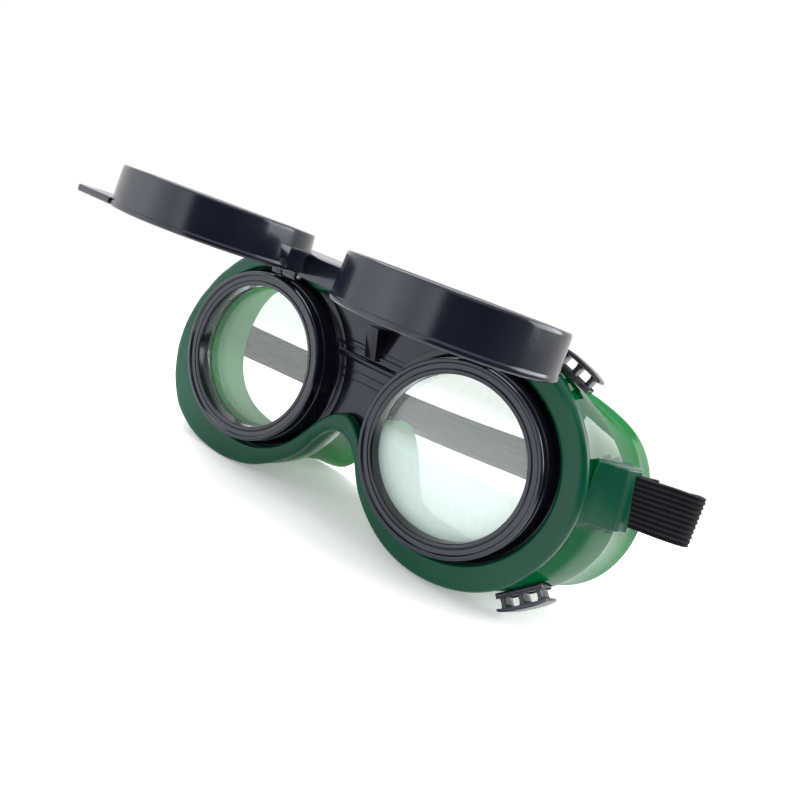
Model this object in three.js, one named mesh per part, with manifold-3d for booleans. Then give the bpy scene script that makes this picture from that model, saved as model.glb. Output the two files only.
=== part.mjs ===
// Flip-front welding goggles with round 50 mm lenses, lift front raised.
// Units mm, +Z up, the front of the goggles looks along -Y, +X is the wearer's
// left. Everything is drawn about a datum midway between the two lens axes on
// the front plane of the lens rings and is shifted to the stance at the end.
import * as THREE from "three";
import Module from "manifold-3d";
import { mergeVertices } from "three/addons/utils/BufferGeometryUtils.js";

const wasm = await Module();
wasm.setup();

// ------------------------------------------------------------ dimensions
const EYE = 38.5;            // half the distance between the lens axes
const LENS_R = 25;           // 50 mm round lenses
const APERTURE_R = 23.5;     // clear opening of the screwed ring
const RING_R = 28.1;         // outside of the screwed ring
const RING_Y0 = -1;          // front of the ring lip
const RING_Y1 = 2.4;         // back of the ring's wide part
const LENS_Y = 4.4;          // front face of the clear lens
const LENS_T = 2.4;          // clear lens thickness
const CUP_R = 28.5;          // outside of the eyecup at its front edge
const CUP_BORE = 25.6;       // bore of the eyecup
const SEAT_R = 22.6;         // bore behind the gasket
const PLATE_Y = 10;          // front of the bridge plate
const PLATE_T = 2.6;         // bridge plate thickness
const RIM_Y = 5.5;           // front plane of the soft rim
const CREASE_Y = 23;         // crease round the side walls
const FACE_Y = 50;           // plane of the face flange
const WALL = 2.2;            // wall of the soft body
const HINGE_Y = 0.3;         // hinge axis of the lift front
const HINGE_Z = 30.6;
const PIN_R = 0.9;
const KNUCKLE_R = 2.0;
const FLIP_CY = -29.9;       // axes of the raised cups
const FLIP_Z0 = 33.4;        // back plane of the raised cups
const FLIP_Z1 = 44.4;        // front plane of the raised cups
const FLIP_R0 = 27.2;        // outside at the back
const FLIP_R1 = 26.4;        // outside at the front
const STRAP_W = 14;          // webbing width
const STRAP_T = 1.3;         // webbing thickness
const GAP = 0.35;            // running and seating clearance
const N = 72;                // stations round the body outline
const SHIFT = [-3.3338, -8.8388, 39.25];  // datum to the stance origin

// ------------------------------------------------------------ materials
const mat = (name, color, roughness, metalness = 0, extra = {}) =>
  Object.assign(new THREE.MeshStandardMaterial({ color, roughness, metalness, ...extra }), { name });
const M = {
  pvc: () => mat("pvc_green", 0x0c7a4c, 0.22),
  frame: () => mat("plastic_black", 0x14161a, 0.3),
  ring: () => mat("ring_black", 0x15171b, 0.25),
  gasket: () => mat("gasket", 0x1b1b1b, 0.8),
  clear: () => mat("lens_clear", 0xdfeee8, 0.05),
  shade: () => mat("lens_shade", 0x10301c, 0.06),
  vent: () => mat("vent_black", 0x17191d, 0.35),
  pin: () => mat("pin_steel", 0x9a9da0, 0.35, 1),
  strap: () => mat("strap_black", 0x1c1c20, 0.85),
};

// ------------------------------------------------------------ helpers
const root = new THREE.Group();
root.name = "welding_goggles";

function put(name, geometry, material) {
  const g = geometry.index ? geometry : mergeVertices(geometry, 1e-4);
  g.translate(SHIFT[0], SHIFT[1], SHIFT[2]);
  g.computeVertexNormals();
  const mesh = new THREE.Mesh(g, material);
  mesh.name = name;
  root.add(mesh);
  return mesh;
}

function solid(geometry) {
  const g = geometry.clone();
  g.deleteAttribute("normal");
  g.deleteAttribute("uv");
  const m = mergeVertices(g, 1e-4);
  const mesh = new wasm.Mesh({
    numProp: 3,
    vertProperties: new Float32Array(m.attributes.position.array),
    triVerts: new Uint32Array(m.index.array),
  });
  mesh.merge();
  return new wasm.Manifold(mesh);
}

function geom(man) {
  const mesh = man.getMesh();
  const g = new THREE.BufferGeometry();
  g.setAttribute("position", new THREE.BufferAttribute(new Float32Array(mesh.vertProperties), 3));
  g.setIndex(new THREE.BufferAttribute(new Uint32Array(mesh.triVerts), 1));
  return g;
}

const mirrored = (geometry) => {
  const g = geometry.clone();
  const p = g.attributes.position;
  for (let i = 0; i < p.count; i++) p.setX(i, -p.getX(i));
  const ix = g.index.array;
  for (let i = 0; i < ix.length; i += 3) { const t = ix[i]; ix[i] = ix[i + 1]; ix[i + 1] = t; }
  return g;
};

const box = (x0, x1, y0, y1, z0, z1) => {
  const g = new THREE.BoxGeometry(x1 - x0, y1 - y0, z1 - z0);
  g.translate((x0 + x1) / 2, (y0 + y1) / 2, (z0 + z1) / 2);
  return g;
};

// body of revolution about the Y axis; profile pairs are [radius, y]
const turnY = (profile, cx, cz, seg = 64) => {
  const pts = profile.concat([profile[0]]).map(([r, y]) => new THREE.Vector2(r, y));
  const g = new THREE.LatheGeometry(pts, seg);
  g.translate(cx, 0, cz);
  return g;
};
// body of revolution about the Z axis; profile pairs are [radius, z]
const turnZ = (profile, cx, cy, seg = 64) => {
  const pts = profile.concat([profile[0]]).map(([r, z]) => new THREE.Vector2(r, z));
  const g = new THREE.LatheGeometry(pts, seg);
  g.rotateX(Math.PI / 2);
  g.translate(cx, cy, 0);
  return g;
};
// disc bodies: profile starts and ends on the axis
const discY = (profile, cx, cz, seg = 64) => {
  const g = new THREE.LatheGeometry(profile.map(([r, y]) => new THREE.Vector2(r, y)), seg);
  g.translate(cx, 0, cz);
  return g;
};
const discZ = (profile, cx, cy, seg = 64) => {
  const g = new THREE.LatheGeometry(profile.map(([r, z]) => new THREE.Vector2(r, z)), seg);
  g.rotateX(Math.PI / 2);
  g.translate(cx, cy, 0);
  return g;
};

// prism: polygon in the YZ plane, run along X
const prismX = (poly, x0, x1) => {
  const s = new THREE.Shape(poly.map(([y, z]) => new THREE.Vector2(y, z)));
  const g = new THREE.ExtrudeGeometry(s, { depth: x1 - x0, bevelEnabled: false });
  g.applyMatrix4(new THREE.Matrix4().set(0, 0, 1, x0, 1, 0, 0, 0, 0, 1, 0, 0, 0, 0, 0, 1));
  return g;
};
// prism: polygon in the XY plane, run along Z
const prismZ = (poly, z0, z1) => {
  const s = new THREE.Shape(poly.map(([x, y]) => new THREE.Vector2(x, y)));
  const g = new THREE.ExtrudeGeometry(s, { depth: z1 - z0, bevelEnabled: false });
  g.translate(0, 0, z0);
  return g;
};
const circle = (cy, cz, r, n = 24) =>
  Array.from({ length: n }, (_, i) => [cy + r * Math.cos((2 * Math.PI * i) / n), cz + r * Math.sin((2 * Math.PI * i) / n)]);

// every geometry faces out: flip the faces when the signed volume is negative
function outward(g) {
  const p = g.attributes.position.array;
  const ix = g.index.array;
  let v = 0;
  for (let i = 0; i < ix.length; i += 3) {
    const [a, b, c] = [ix[i] * 3, ix[i + 1] * 3, ix[i + 2] * 3];
    v += p[a] * (p[b + 1] * p[c + 2] - p[b + 2] * p[c + 1])
      - p[a + 1] * (p[b] * p[c + 2] - p[b + 2] * p[c])
      + p[a + 2] * (p[b] * p[c + 1] - p[b + 1] * p[c]);
  }
  if (v < 0) for (let i = 0; i < ix.length; i += 3) { const t = ix[i]; ix[i] = ix[i + 1]; ix[i + 1] = t; }
  return g;
}
const clean = (g) => {
  const c = g.clone();
  c.deleteAttribute("normal");
  c.deleteAttribute("uv");
  return outward(mergeVertices(c, 1e-4));
};
const S = (g) => solid(clean(g));

// ------------------------------------------------------------ outlines
// control points of half an outline, top centre to the top of the nose arch
const OPENING = [[0, 25.6], [8, 25.8], [17, 26.5], [26.8, 29.0], [38.5, 31.3], [50.2, 29.0],
  [60.2, 22.5], [66.6, 13.7], [69.5, 4.4], [69.3, -5.4], [66.1, -14.7], [60.2, -22.5],
  [51.2, -28.6], [39.6, -31.3], [27.8, -29.4], [16.8, -22.5], [9.5, -11.7], [4.2, -6.2], [0, -4.5]];
const FRONT = [[0, 29.6], [7.5, 30.2], [15.5, 32.0], [24.3, 35.2], [38.5, 38.0], [52.7, 35.2],
  [64.9, 27.3], [72.7, 16.7], [76.1, 5.3], [75.9, -6.6], [72.1, -17.9], [65.6, -28.0],
  [54.2, -35.4], [39.8, -38.0], [25.8, -34.8], [13.8, -25.5], [8.5, -16.5], [4.5, -11.8], [0, -10.4]];
const CREASE = [[0, 28.4], [7.5, 29.0], [15.5, 30.8], [25, 33.9], [39, 36.4], [53, 34.0],
  [66, 27.6], [76.5, 20.0], [83.0, 9.5], [84.8, -3.5], [82.8, -14.0], [76, -25.3],
  [62, -35.2], [45, -38.7], [30, -37.4], [17.5, -29.2], [10.5, -19], [5.5, -12.6], [0, -10.6]];
const REAR = [[0, 25], [8, 25.6], [17, 27.2], [28, 29.2], [42, 30.2], [55.5, 28.6],
  [67.5, 25.4], [77.2, 20.4], [85.0, 11.2], [88.6, -2], [88.0, -15], [82, -28],
  [69, -36.8], [50, -39.0], [32, -39.0], [18.0, -37.2], [11.5, -28.5], [6.2, -17.5], [0, -11]];

function outline(half) {
  const pts = half.concat(half.slice(1, -1).reverse().map(([x, z]) => [-x, z]));
  const curve = new THREE.CatmullRomCurve3(pts.map(([x, z]) => new THREE.Vector3(x, 0, z)), true, "catmullrom", 0.5);
  return Array.from({ length: N }, (_, i) => { const p = curve.getPoint(i / N); return [p.x, p.z]; });
}
// positive d moves the outline outwards
function offset(line, d) {
  const n = line.length;
  return line.map(([x, z], i) => {
    const a = line[(i + n - 2) % n], b = line[(i + 2) % n];
    const tx = b[0] - a[0], tz = b[1] - a[1];
    const l = Math.hypot(tx, tz);
    return [x - (d * tz) / l, z + (d * tx) / l];
  });
}
const mixLine = (a, b, t) => a.map(([x, z], i) => [x + (b[i][0] - x) * t, z + (b[i][1] - z) * t]);

const open_ = offset(outline(OPENING), -0.5), front_ = outline(FRONT), crease_ = outline(CREASE), rear_ = outline(REAR);

// closed skin through rings of stations; the list of rings closes on itself
function ringLoft(rings) {
  const pos = [], idx = [], n = rings[0].line.length, m = rings.length;
  for (const r of rings) for (const [x, z] of r.line) pos.push(x, r.y, z);
  for (let j = 0; j < m; j++) for (let i = 0; i < n; i++) {
    const a = j * n + i, b = j * n + ((i + 1) % n), c = ((j + 1) % m) * n + i, d = ((j + 1) % m) * n + ((i + 1) % n);
    idx.push(a, b, d, a, d, c);
  }
  const g = new THREE.BufferGeometry();
  g.setAttribute("position", new THREE.BufferAttribute(new Float32Array(pos), 3));
  g.setIndex(idx);
  return outward(g);
}

// ------------------------------------------------------------ soft body
const sideAt = (t) => mixLine(front_, crease_, t);
const shell = ringLoft([
  { line: open_, y: RIM_Y + 0.3 },
  { line: offset(open_, 0.5), y: RIM_Y },
  { line: offset(front_, -1.0), y: RIM_Y },
  { line: front_, y: RIM_Y + 1.0 },
  { line: front_, y: RIM_Y + 3.0 },
  { line: offset(front_, -0.6), y: RIM_Y + 3.5 },
  { line: offset(sideAt(0.5), 0.3), y: 16 },
  { line: crease_, y: CREASE_Y - 0.8 },
  { line: offset(crease_, -0.9), y: CREASE_Y + 0.7 },
  { line: offset(mixLine(crease_, rear_, 0.45), -1.2), y: 36 },
  { line: offset(rear_, -1.4), y: 46.5 },
  { line: rear_, y: FACE_Y - 1.2 },
  { line: offset(rear_, -0.2), y: FACE_Y },
  { line: offset(rear_, -3.4), y: FACE_Y },
  { line: offset(rear_, -3.5), y: 46.5 },
  { line: offset(mixLine(crease_, rear_, 0.45), -3.4), y: 36 },
  { line: offset(crease_, -3.0), y: CREASE_Y + 0.5 },
  { line: offset(sideAt(0.5), -WALL), y: 16 },
  { line: offset(front_, -2.6), y: 10.5 },
  { line: offset(front_, -2.8), y: RIM_Y + 3.9 },
  { line: open_, y: RIM_Y + 3.9 },
]);
let body = solid(shell);

// strap lugs: a sleeve behind each side panel, open towards the back
const strapPath = [[77.6, 14.6], [80.1, 18.6], [82.6, 21.3], [86.6, 23.6], [93.5, 26.6]];
const thick = (path, inner, outer) => {
  const n = path.length;
  const nor = path.map((p, i) => {
    const a = path[Math.max(0, i - 1)], b = path[Math.min(n - 1, i + 1)];
    const l = Math.hypot(b[0] - a[0], b[1] - a[1]);
    return [(b[1] - a[1]) / l, -(b[0] - a[0]) / l];
  });
  return path.map((p, i) => [p[0] + nor[i][0] * outer, p[1] + nor[i][1] * outer])
    .concat(path.map((p, i) => [p[0] - nor[i][0] * inner, p[1] - nor[i][1] * inner]).reverse());
};
const LUG_Z0 = 0.2, LUG_Z1 = 14.8;
const lugBlock = [[75.2, 9.8], [81.9, 17.0], [83.0, 18.8], [83.9, 21.2], [84.9, 22.6], [84.6, 27.0],
  [80.6, 27.4], [76.6, 23.2], [73.2, 15.0], [74.2, 11.0]];
const lugCut = thick(strapPath, 3.1, 1.1);
for (const side of [1, -1]) {
  const flip = (g) => (side > 0 ? clean(g) : mirrored(clean(g)));
  body = body.add(solid(outward(flip(prismZ(lugBlock, LUG_Z0 - 1.6, LUG_Z1 + 1.6)))));
  body = body.subtract(solid(outward(flip(prismZ(lugCut, LUG_Z0, LUG_Z1)))));
}

// vent plugs: local frame with +W out of the wall, U along it, V along the depth
const VENTS = [
  { name: "vent_lower_left", cx: 69.3, cz: -28.6, ang: -46, cy: 17.0, len: 14.4, tilt: 17 },
  { name: "vent_upper_left", cx: 58.6, cz: 32.4, ang: 57, cy: 16.6, len: 13.0, tilt: -4 },
];
const VENT_V = 7.6;
function ventMatrix(v) {
  const a = THREE.MathUtils.degToRad(v.ang), t = THREE.MathUtils.degToRad(v.tilt);
  const out = new THREE.Vector3(Math.cos(a), 0, Math.sin(a));
  const w = out.clone().multiplyScalar(Math.cos(t)).add(new THREE.Vector3(0, -Math.sin(t), 0)).normalize();
  const u = new THREE.Vector3(-Math.sin(a), 0, Math.cos(a));
  const vv = new THREE.Vector3().crossVectors(w, u).normalize();
  return new THREE.Matrix4().makeBasis(u, vv, w).setPosition(v.cx, v.cy, v.cz);
}
for (const v of VENTS) {
  const m = ventMatrix(v);
  const hole = box(-v.len / 2 + 2.2, v.len / 2 - 2.2, -VENT_V / 2 + 1.5, VENT_V / 2 - 1.5, -9, 6);
  hole.applyMatrix4(m);
  const seat = box(-v.len / 2 - GAP, v.len / 2 + GAP, -VENT_V / 2 - GAP, VENT_V / 2 + GAP, -0.9, 8);
  seat.applyMatrix4(m);
  for (const side of [1, -1]) {
    const flip = (g) => (side > 0 ? clean(g) : mirrored(clean(g)));
    body = body.subtract(solid(outward(flip(hole)))).subtract(solid(outward(flip(seat))));
  }
}
put("face_body", geom(body), M.pvc());

for (const v of VENTS) {
  const m = ventMatrix(v);
  const L = v.len / 2, V = VENT_V / 2;
  let plug = S(box(-L, L, -V, V, -0.5, 0.7));
  plug = plug.subtract(S(box(-L + 3.4, L - 3.4, -V + 2.6, V - 2.6, -3, 3)));
  for (const u of [-L + 0.9, -0.7, L - 2.3]) plug = plug.add(S(box(u, u + 1.4, -V + 0.6, V - 0.6, 0.4, 4.2)));
  plug = plug.add(S(prismX([[-V - 0.4, 3.9], [V + 0.4, 3.9], [V + 0.4, 4.7], [V - 0.6, 5.2], [-V + 0.6, 5.2], [-V - 0.4, 4.7]], -L - 0.5, L + 0.5)));
  const g = geom(plug);
  g.applyMatrix4(m);
  put(v.name, outward(g.clone()), M.vent());
  put(v.name.replace("left", "right"), outward(mirrored(g)), M.vent());
}

// ------------------------------------------------------------ black front
const plateLine = offset(front_, -3.2);
const plateShape = plateLine.map(([x, z]) => [x, z]);
const plateGeo = (() => {
  const s = new THREE.Shape(plateShape.map(([x, z]) => new THREE.Vector2(x, z)));
  for (const sx of [1, -1]) {
    const h = new THREE.Path(circle(sx * EYE, 0, 24.6, 36).map(([x, z]) => new THREE.Vector2(x, z)));
    s.holes.push(h);
  }
  const g = new THREE.ExtrudeGeometry(s, { depth: PLATE_T, bevelEnabled: false });
  g.applyMatrix4(new THREE.Matrix4().set(1, 0, 0, 0, 0, 0, 1, PLATE_Y, 0, 1, 0, 0, 0, 0, 0, 1));
  return g;
})();
let front = S(plateGeo);
for (const sx of [1, -1]) {
  front = front.add(S(turnY([
    [CUP_BORE, 2.8], [CUP_R, 2.8], [CUP_R + 0.1, 6.2], [CUP_R + 0.8, 6.7], [CUP_R + 1.0, PLATE_Y + PLATE_T],
    [SEAT_R, PLATE_Y + PLATE_T], [SEAT_R, 8.5], [CUP_BORE, 8.5],
  ], sx * EYE, 0, 60)));
  front = front.add(S(prismX([[-1.1, 28.95], [3.2, 28.7], [3.2, 27.6], [5.0, 27.6], [5.0, 30.2], [2.0, 32.4], [0.3, 32.6], [-1.1, 32.0], [-1.7, 30.6]],
    sx > 0 ? 36 : -40, sx > 0 ? 40 : -36)));
}
const bore = (cx) => S(discY([[0, 2], [CUP_BORE, 2], [CUP_BORE, 8.5], [SEAT_R, 8.5], [SEAT_R, 14], [0, 14]], cx, 0, 60));
// ribs and bead across the bridge
for (const [z0, z1, y] of [[15.6, 16.6, 9.2], [8.3, 9.3, 9.3], [5.7, 6.6, 9.4]]) {
  front = front.add(S(box(-16, 16, y, PLATE_Y + 0.5, z0, z1)));
}
front = front.add(S(prismX(circle(10.0, 13.1, 1.2, 12), -15, 15)));
front = front.add(S(prismX([[5.0, 24.6], [8.5, 15.0], [10.4, 14.6], [10.4, 24.6]], -2.25, 2.25)));
for (const sx of [1, -1]) front = front.subtract(bore(sx * EYE));
front = front.subtract(S(prismX(circle(HINGE_Y, HINGE_Z, PIN_R + GAP, 20), -44, 44)));
put("front_frame", geom(front), M.frame());

// ------------------------------------------------------------ eyepieces
for (const [tag, sx] of [["left", 1], ["right", -1]]) {
  put(`lens_ring_${tag}`, clean(turnY([
    [APERTURE_R, -0.1], [26.6, -0.2], [26.8, RING_Y0], [RING_R - 0.3, RING_Y0], [RING_R, RING_Y0 + 0.4], [RING_R, RING_Y1],
    [25.2, RING_Y1], [25.2, LENS_Y - GAP], [APERTURE_R, LENS_Y - GAP],
  ], sx * EYE, 0, 48)), M.ring());
  put(`clear_lens_${tag}`, clean(discY([
    [0, LENS_Y], [LENS_R, LENS_Y], [LENS_R, LENS_Y + LENS_T], [0, LENS_Y + LENS_T],
  ], sx * EYE, 0, 48)), M.clear());
  put(`lens_gasket_${tag}`, clean(turnY([
    [22.8, 7.15], [25.1, 7.15], [25.1, 8.15], [22.8, 8.15],
  ], sx * EYE, 0, 48)), M.gasket());
}

// ------------------------------------------------------------ lift front
let flip = null;
const addTo = (m) => { flip = flip ? flip.add(m) : m; };
for (const sx of [1, -1]) {
  addTo(S(discZ([[0, FLIP_Z0], [FLIP_R0, FLIP_Z0], [FLIP_R0, FLIP_Z0 + 1.2], [FLIP_R1, FLIP_Z1 - 0.6], [FLIP_R1 - 0.5, FLIP_Z1], [0, FLIP_Z1]], sx * EYE, FLIP_CY, 60)));
}
addTo(S(prismX([[-18.6, 32.4], [-1.4, 32.4], [-1.4, 39.6], [-2.2, 40.0], [-18.0, 39.2], [-18.6, 38.8]], -35.4, 35.4)));
flip = flip.subtract(S(prismX([[-17.2, 30], [-3.0, 30], [-3.0, 38.3], [-17.2, 37.7]], -34.0, 34.0)));
addTo(S(prismZ([[-50, -53.0], [-68.6, -52.2], [-69.6, -51.2], [-69.6, -40.0], [-68.6, -39.0], [-58, -37.6], [-50, -37.6]], 33.6, 35.0)));
for (const sx of [1, -1]) {
  flip = flip.subtract(S(discZ([[0, 30], [25.4, 30], [25.4, 42.5], [APERTURE_R, 42.5], [APERTURE_R, 46], [0, 46]], sx * EYE, FLIP_CY, 60)));
}
put("flip_frame", geom(flip), M.frame());
// hinge knuckles, butted under and in front of the web's near wall
for (const [tag, sx] of [["left", 1], ["right", -1]]) {
  const x0 = sx > 0 ? 30.2 : -35.4, x1 = sx > 0 ? 35.4 : -30.2;
  let knuckle = S(prismX([[-1.66, 31.6], [-1.66, 29.9], [-0.9, 28.95], [0.3, 28.6], [1.5, 29.0], [2.2, 30.0], [2.2, 31.2], [1.2, 32.6], [-1.0, 34.2], [-2.4, 34.2], [-2.4, 32.4]], x0, x1));
  knuckle = knuckle.subtract(flip).subtract(S(prismX(circle(HINGE_Y, HINGE_Z, PIN_R + GAP, 20), -44, 44)));
  put(`hinge_knuckle_${tag}`, geom(knuckle), M.frame());
}

for (const [tag, sx] of [["left", 1], ["right", -1]]) {
  put(`shade_lens_${tag}`, clean(discZ([
    [0, 39.2], [LENS_R, 39.2], [LENS_R, 42.1], [0, 42.1],
  ], sx * EYE, FLIP_CY, 48)), M.shade());
  put(`flip_ring_${tag}`, clean(turnZ([
    [22.9, 34.3], [24.6, 34.3], [25.05, 34.8], [25.05, 38.85], [22.9, 38.85],
  ], sx * EYE, FLIP_CY, 48)), M.ring());
  const pin = new THREE.CylinderGeometry(PIN_R, PIN_R, 11.2, 20);
  pin.rotateZ(Math.PI / 2);
  pin.translate(sx * 35.1, HINGE_Y, HINGE_Z);
  put(`hinge_pin_${tag}`, clean(pin), M.pin());
}

// ------------------------------------------------------------ headband
// plan path with the height of the webbing's centre line
const band = [
  [77.9, 15.2, 7.5], [80.2, 18.8, 7.5], [82.8, 21.5, 7.5], [86.8, 23.6, 7.6], [92, 25.9, 7.8], [96.4, 28.0, 8.0],
  [99.6, 30.0, 8.1], [100.8, 32.8, 8.0], [99.8, 36.6, 7.5], [96.6, 43, 5.8], [92.5, 51, 3.4], [84, 58.5, 0.8],
  [66, 65, -2.6], [42, 70, -5.6], [14, 73.5, -9], [-14, 74, -11], [-42, 72, -12], [-64, 68, -12], [-80, 61.5, -11],
  [-89, 53.5, -9.4], [-93.6, 44, -6], [-93.4, 35, -0.5], [-90.4, 28, 4.6], [-86.9, 23.8, 7.2], [-82.8, 21.5, 7.5], [-80.2, 18.8, 7.5], [-77.9, 15.2, 7.5],
];
function ribbon(path, w, t, count) {
  const curve = new THREE.CatmullRomCurve3(path.map((p) => new THREE.Vector3(...p)), false, "centripetal");
  const pos = [], idx = [];
  const pts = curve.getSpacedPoints(count);
  pts.forEach((p, i) => {
    const a = pts[Math.max(0, i - 1)], b = pts[Math.min(count, i + 1)];
    const tx = b.x - a.x, ty = b.y - a.y, l = Math.hypot(tx, ty);
    const nx = ty / l, ny = -tx / l;
    for (const [sn, sw] of [[1, -1], [1, 1], [-1, 1], [-1, -1]]) {
      pos.push(p.x + (nx * sn * t) / 2, p.y + (ny * sn * t) / 2, p.z + (sw * w) / 2);
    }
  });
  for (let i = 0; i < count; i++) for (let k = 0; k < 4; k++) {
    const a = i * 4 + k, b = i * 4 + ((k + 1) % 4), c = a + 4, d = b + 4;
    idx.push(a, b, d, a, d, c);
  }
  idx.push(0, 2, 1, 0, 3, 2);
  const e = count * 4;
  idx.push(e, e + 1, e + 2, e, e + 2, e + 3);
  const g = new THREE.BufferGeometry();
  g.setAttribute("position", new THREE.BufferAttribute(new Float32Array(pos), 3));
  g.setIndex(idx);
  return outward(g);
}
put("headband", ribbon(band, STRAP_W, STRAP_T, 110), M.strap());
const tail = [[76.4, 16.2, 7.5], [78.8, 20.0, 7.5], [81.8, 22.9, 7.5], [85.6, 25.0, 7.6], [88.6, 26.3, 7.8]];
put("headband_tail_left", ribbon(tail, STRAP_W, STRAP_T, 14), M.strap());
const tailRight = [[-76.4, 16.2, 7.5], [-78.8, 20.0, 7.5], [-81.8, 22.95, 7.5], [-85.4, 25.4, 7.3], [-88.3, 29.1, 5.4]];
put("headband_tail_right", ribbon(tailRight, STRAP_W, STRAP_T, 14), M.strap());

export default root;
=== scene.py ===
# Flip-front welding goggles: the looks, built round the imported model.
import bpy, bmesh, math
import numpy as np
from mathutils import Vector, Matrix


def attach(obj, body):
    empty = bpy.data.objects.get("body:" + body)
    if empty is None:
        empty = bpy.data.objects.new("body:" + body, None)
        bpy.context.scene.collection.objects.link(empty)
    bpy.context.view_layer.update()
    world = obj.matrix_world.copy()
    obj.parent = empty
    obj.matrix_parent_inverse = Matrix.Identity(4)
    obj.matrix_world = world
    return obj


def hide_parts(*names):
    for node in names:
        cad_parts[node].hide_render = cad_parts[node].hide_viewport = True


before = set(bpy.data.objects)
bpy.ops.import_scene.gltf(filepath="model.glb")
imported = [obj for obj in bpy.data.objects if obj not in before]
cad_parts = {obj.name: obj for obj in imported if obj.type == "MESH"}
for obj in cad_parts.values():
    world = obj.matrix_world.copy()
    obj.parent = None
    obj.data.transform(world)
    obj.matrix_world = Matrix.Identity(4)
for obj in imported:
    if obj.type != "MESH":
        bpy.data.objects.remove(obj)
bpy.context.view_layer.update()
scene = bpy.context.scene

SH = np.array([-3.3338, -8.8388, 39.25])      # datum between the lenses -> stance origin, mm
EYE = 38.5
rng = np.random.default_rng(7)

# =============================================================== materials
def lin(r, g, b):
    f = lambda c: (c / 255 / 12.92) if c / 255 <= 0.04045 else ((c / 255 + 0.055) / 1.055) ** 2.4
    return (f(r), f(g), f(b), 1.0)

def new_mat(name):
    m = bpy.data.materials.new(name)
    m.use_nodes = True
    nt = m.node_tree
    for n in list(nt.nodes):
        nt.nodes.remove(n)
    out = nt.nodes.new("ShaderNodeOutputMaterial")
    return m, nt, out

def N(nt, kind, **kw):
    n = nt.nodes.new(kind)
    for k, v in kw.items():
        if k.startswith("_"):
            setattr(n, k[1:], v)
        else:
            n.inputs[k.replace("_", " ")].default_value = v
    return n

def ramp(nt, src, stops):
    r = nt.nodes.new("ShaderNodeValToRGB")
    els = r.color_ramp.elements
    while len(els) < len(stops):
        els.new(0.5)
    for e, (p, c) in zip(els, stops):
        e.position = p
        e.color = c if len(c) == 4 else (*c, 1)
    nt.links.new(src, r.inputs["Fac"])
    return r

def plastic_mat(name, base, var, rough_lo, rough_hi, bump=0.02, coat=0.0, grain=900.0, spec=0.5):
    """moulded black plastic: faint mottling, scuffs, flow lines and dust in the roughness"""
    m, nt, out = new_mat(name)
    L = nt.links.new
    co = N(nt, "ShaderNodeTexCoord")
    bs = nt.nodes.new("ShaderNodeBsdfPrincipled")
    big = N(nt, "ShaderNodeTexNoise", Scale=60.0, Detail=4.0, Roughness=0.6)
    fine = N(nt, "ShaderNodeTexNoise", Scale=grain, Detail=5.0, Roughness=0.7)
    scr = N(nt, "ShaderNodeTexNoise", Scale=240.0, Detail=8.0, Roughness=0.75, Distortion=1.4)
    for t in (big, fine, scr):
        L(co.outputs["Object"], t.inputs["Vector"])
    c = ramp(nt, big.outputs["Fac"], [(0.3, base), (0.72, var)])
    L(c.outputs["Color"], bs.inputs["Base Color"])
    r = N(nt, "ShaderNodeMapRange")
    r.inputs["From Min"].default_value = 0.35
    r.inputs["From Max"].default_value = 0.7
    r.inputs["To Min"].default_value = rough_lo
    r.inputs["To Max"].default_value = rough_hi
    L(scr.outputs["Fac"], r.inputs["Value"])
    L(r.outputs["Result"], bs.inputs["Roughness"])
    b = N(nt, "ShaderNodeBump", Strength=bump, Distance=0.0004)
    L(fine.outputs["Fac"], b.inputs["Height"])
    L(b.outputs["Normal"], bs.inputs["Normal"])
    bs.inputs["Specular IOR Level"].default_value = spec
    bs.inputs["Specular Tint"].default_value = (0.84, 0.91, 1.0, 1)
    if coat:
        bs.inputs["Coat Weight"].default_value = coat
        bs.inputs["Coat Roughness"].default_value = 0.08
    L(bs.outputs["BSDF"], out.inputs["Surface"])
    return m

M_FRAME = plastic_mat("black_frame_plastic", (0.0040, 0.0040, 0.0085), (0.0060, 0.0060, 0.0125), 0.11, 0.17, 0.02, 0.0, 900.0, 0.36)
M_FLIP = plastic_mat("black_lift_plastic", (0.0050, 0.0052, 0.0110), (0.0075, 0.0080, 0.0160), 0.13, 0.20, 0.02)
M_RING = plastic_mat("black_ring_plastic", (0.0035, 0.0035, 0.0080), (0.0050, 0.0050, 0.0105), 0.13, 0.19, 0.015)
M_VENT = plastic_mat("black_vent_plastic", (0.0040, 0.0040, 0.0070), (0.0070, 0.0070, 0.0110), 0.20, 0.30, 0.04)
M_RUBBER = plastic_mat("gasket_rubber_black", (0.012, 0.012, 0.012), (0.02, 0.02, 0.02), 0.6, 0.8, 0.2, 0.0, 1500.0, 0.3)

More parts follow.
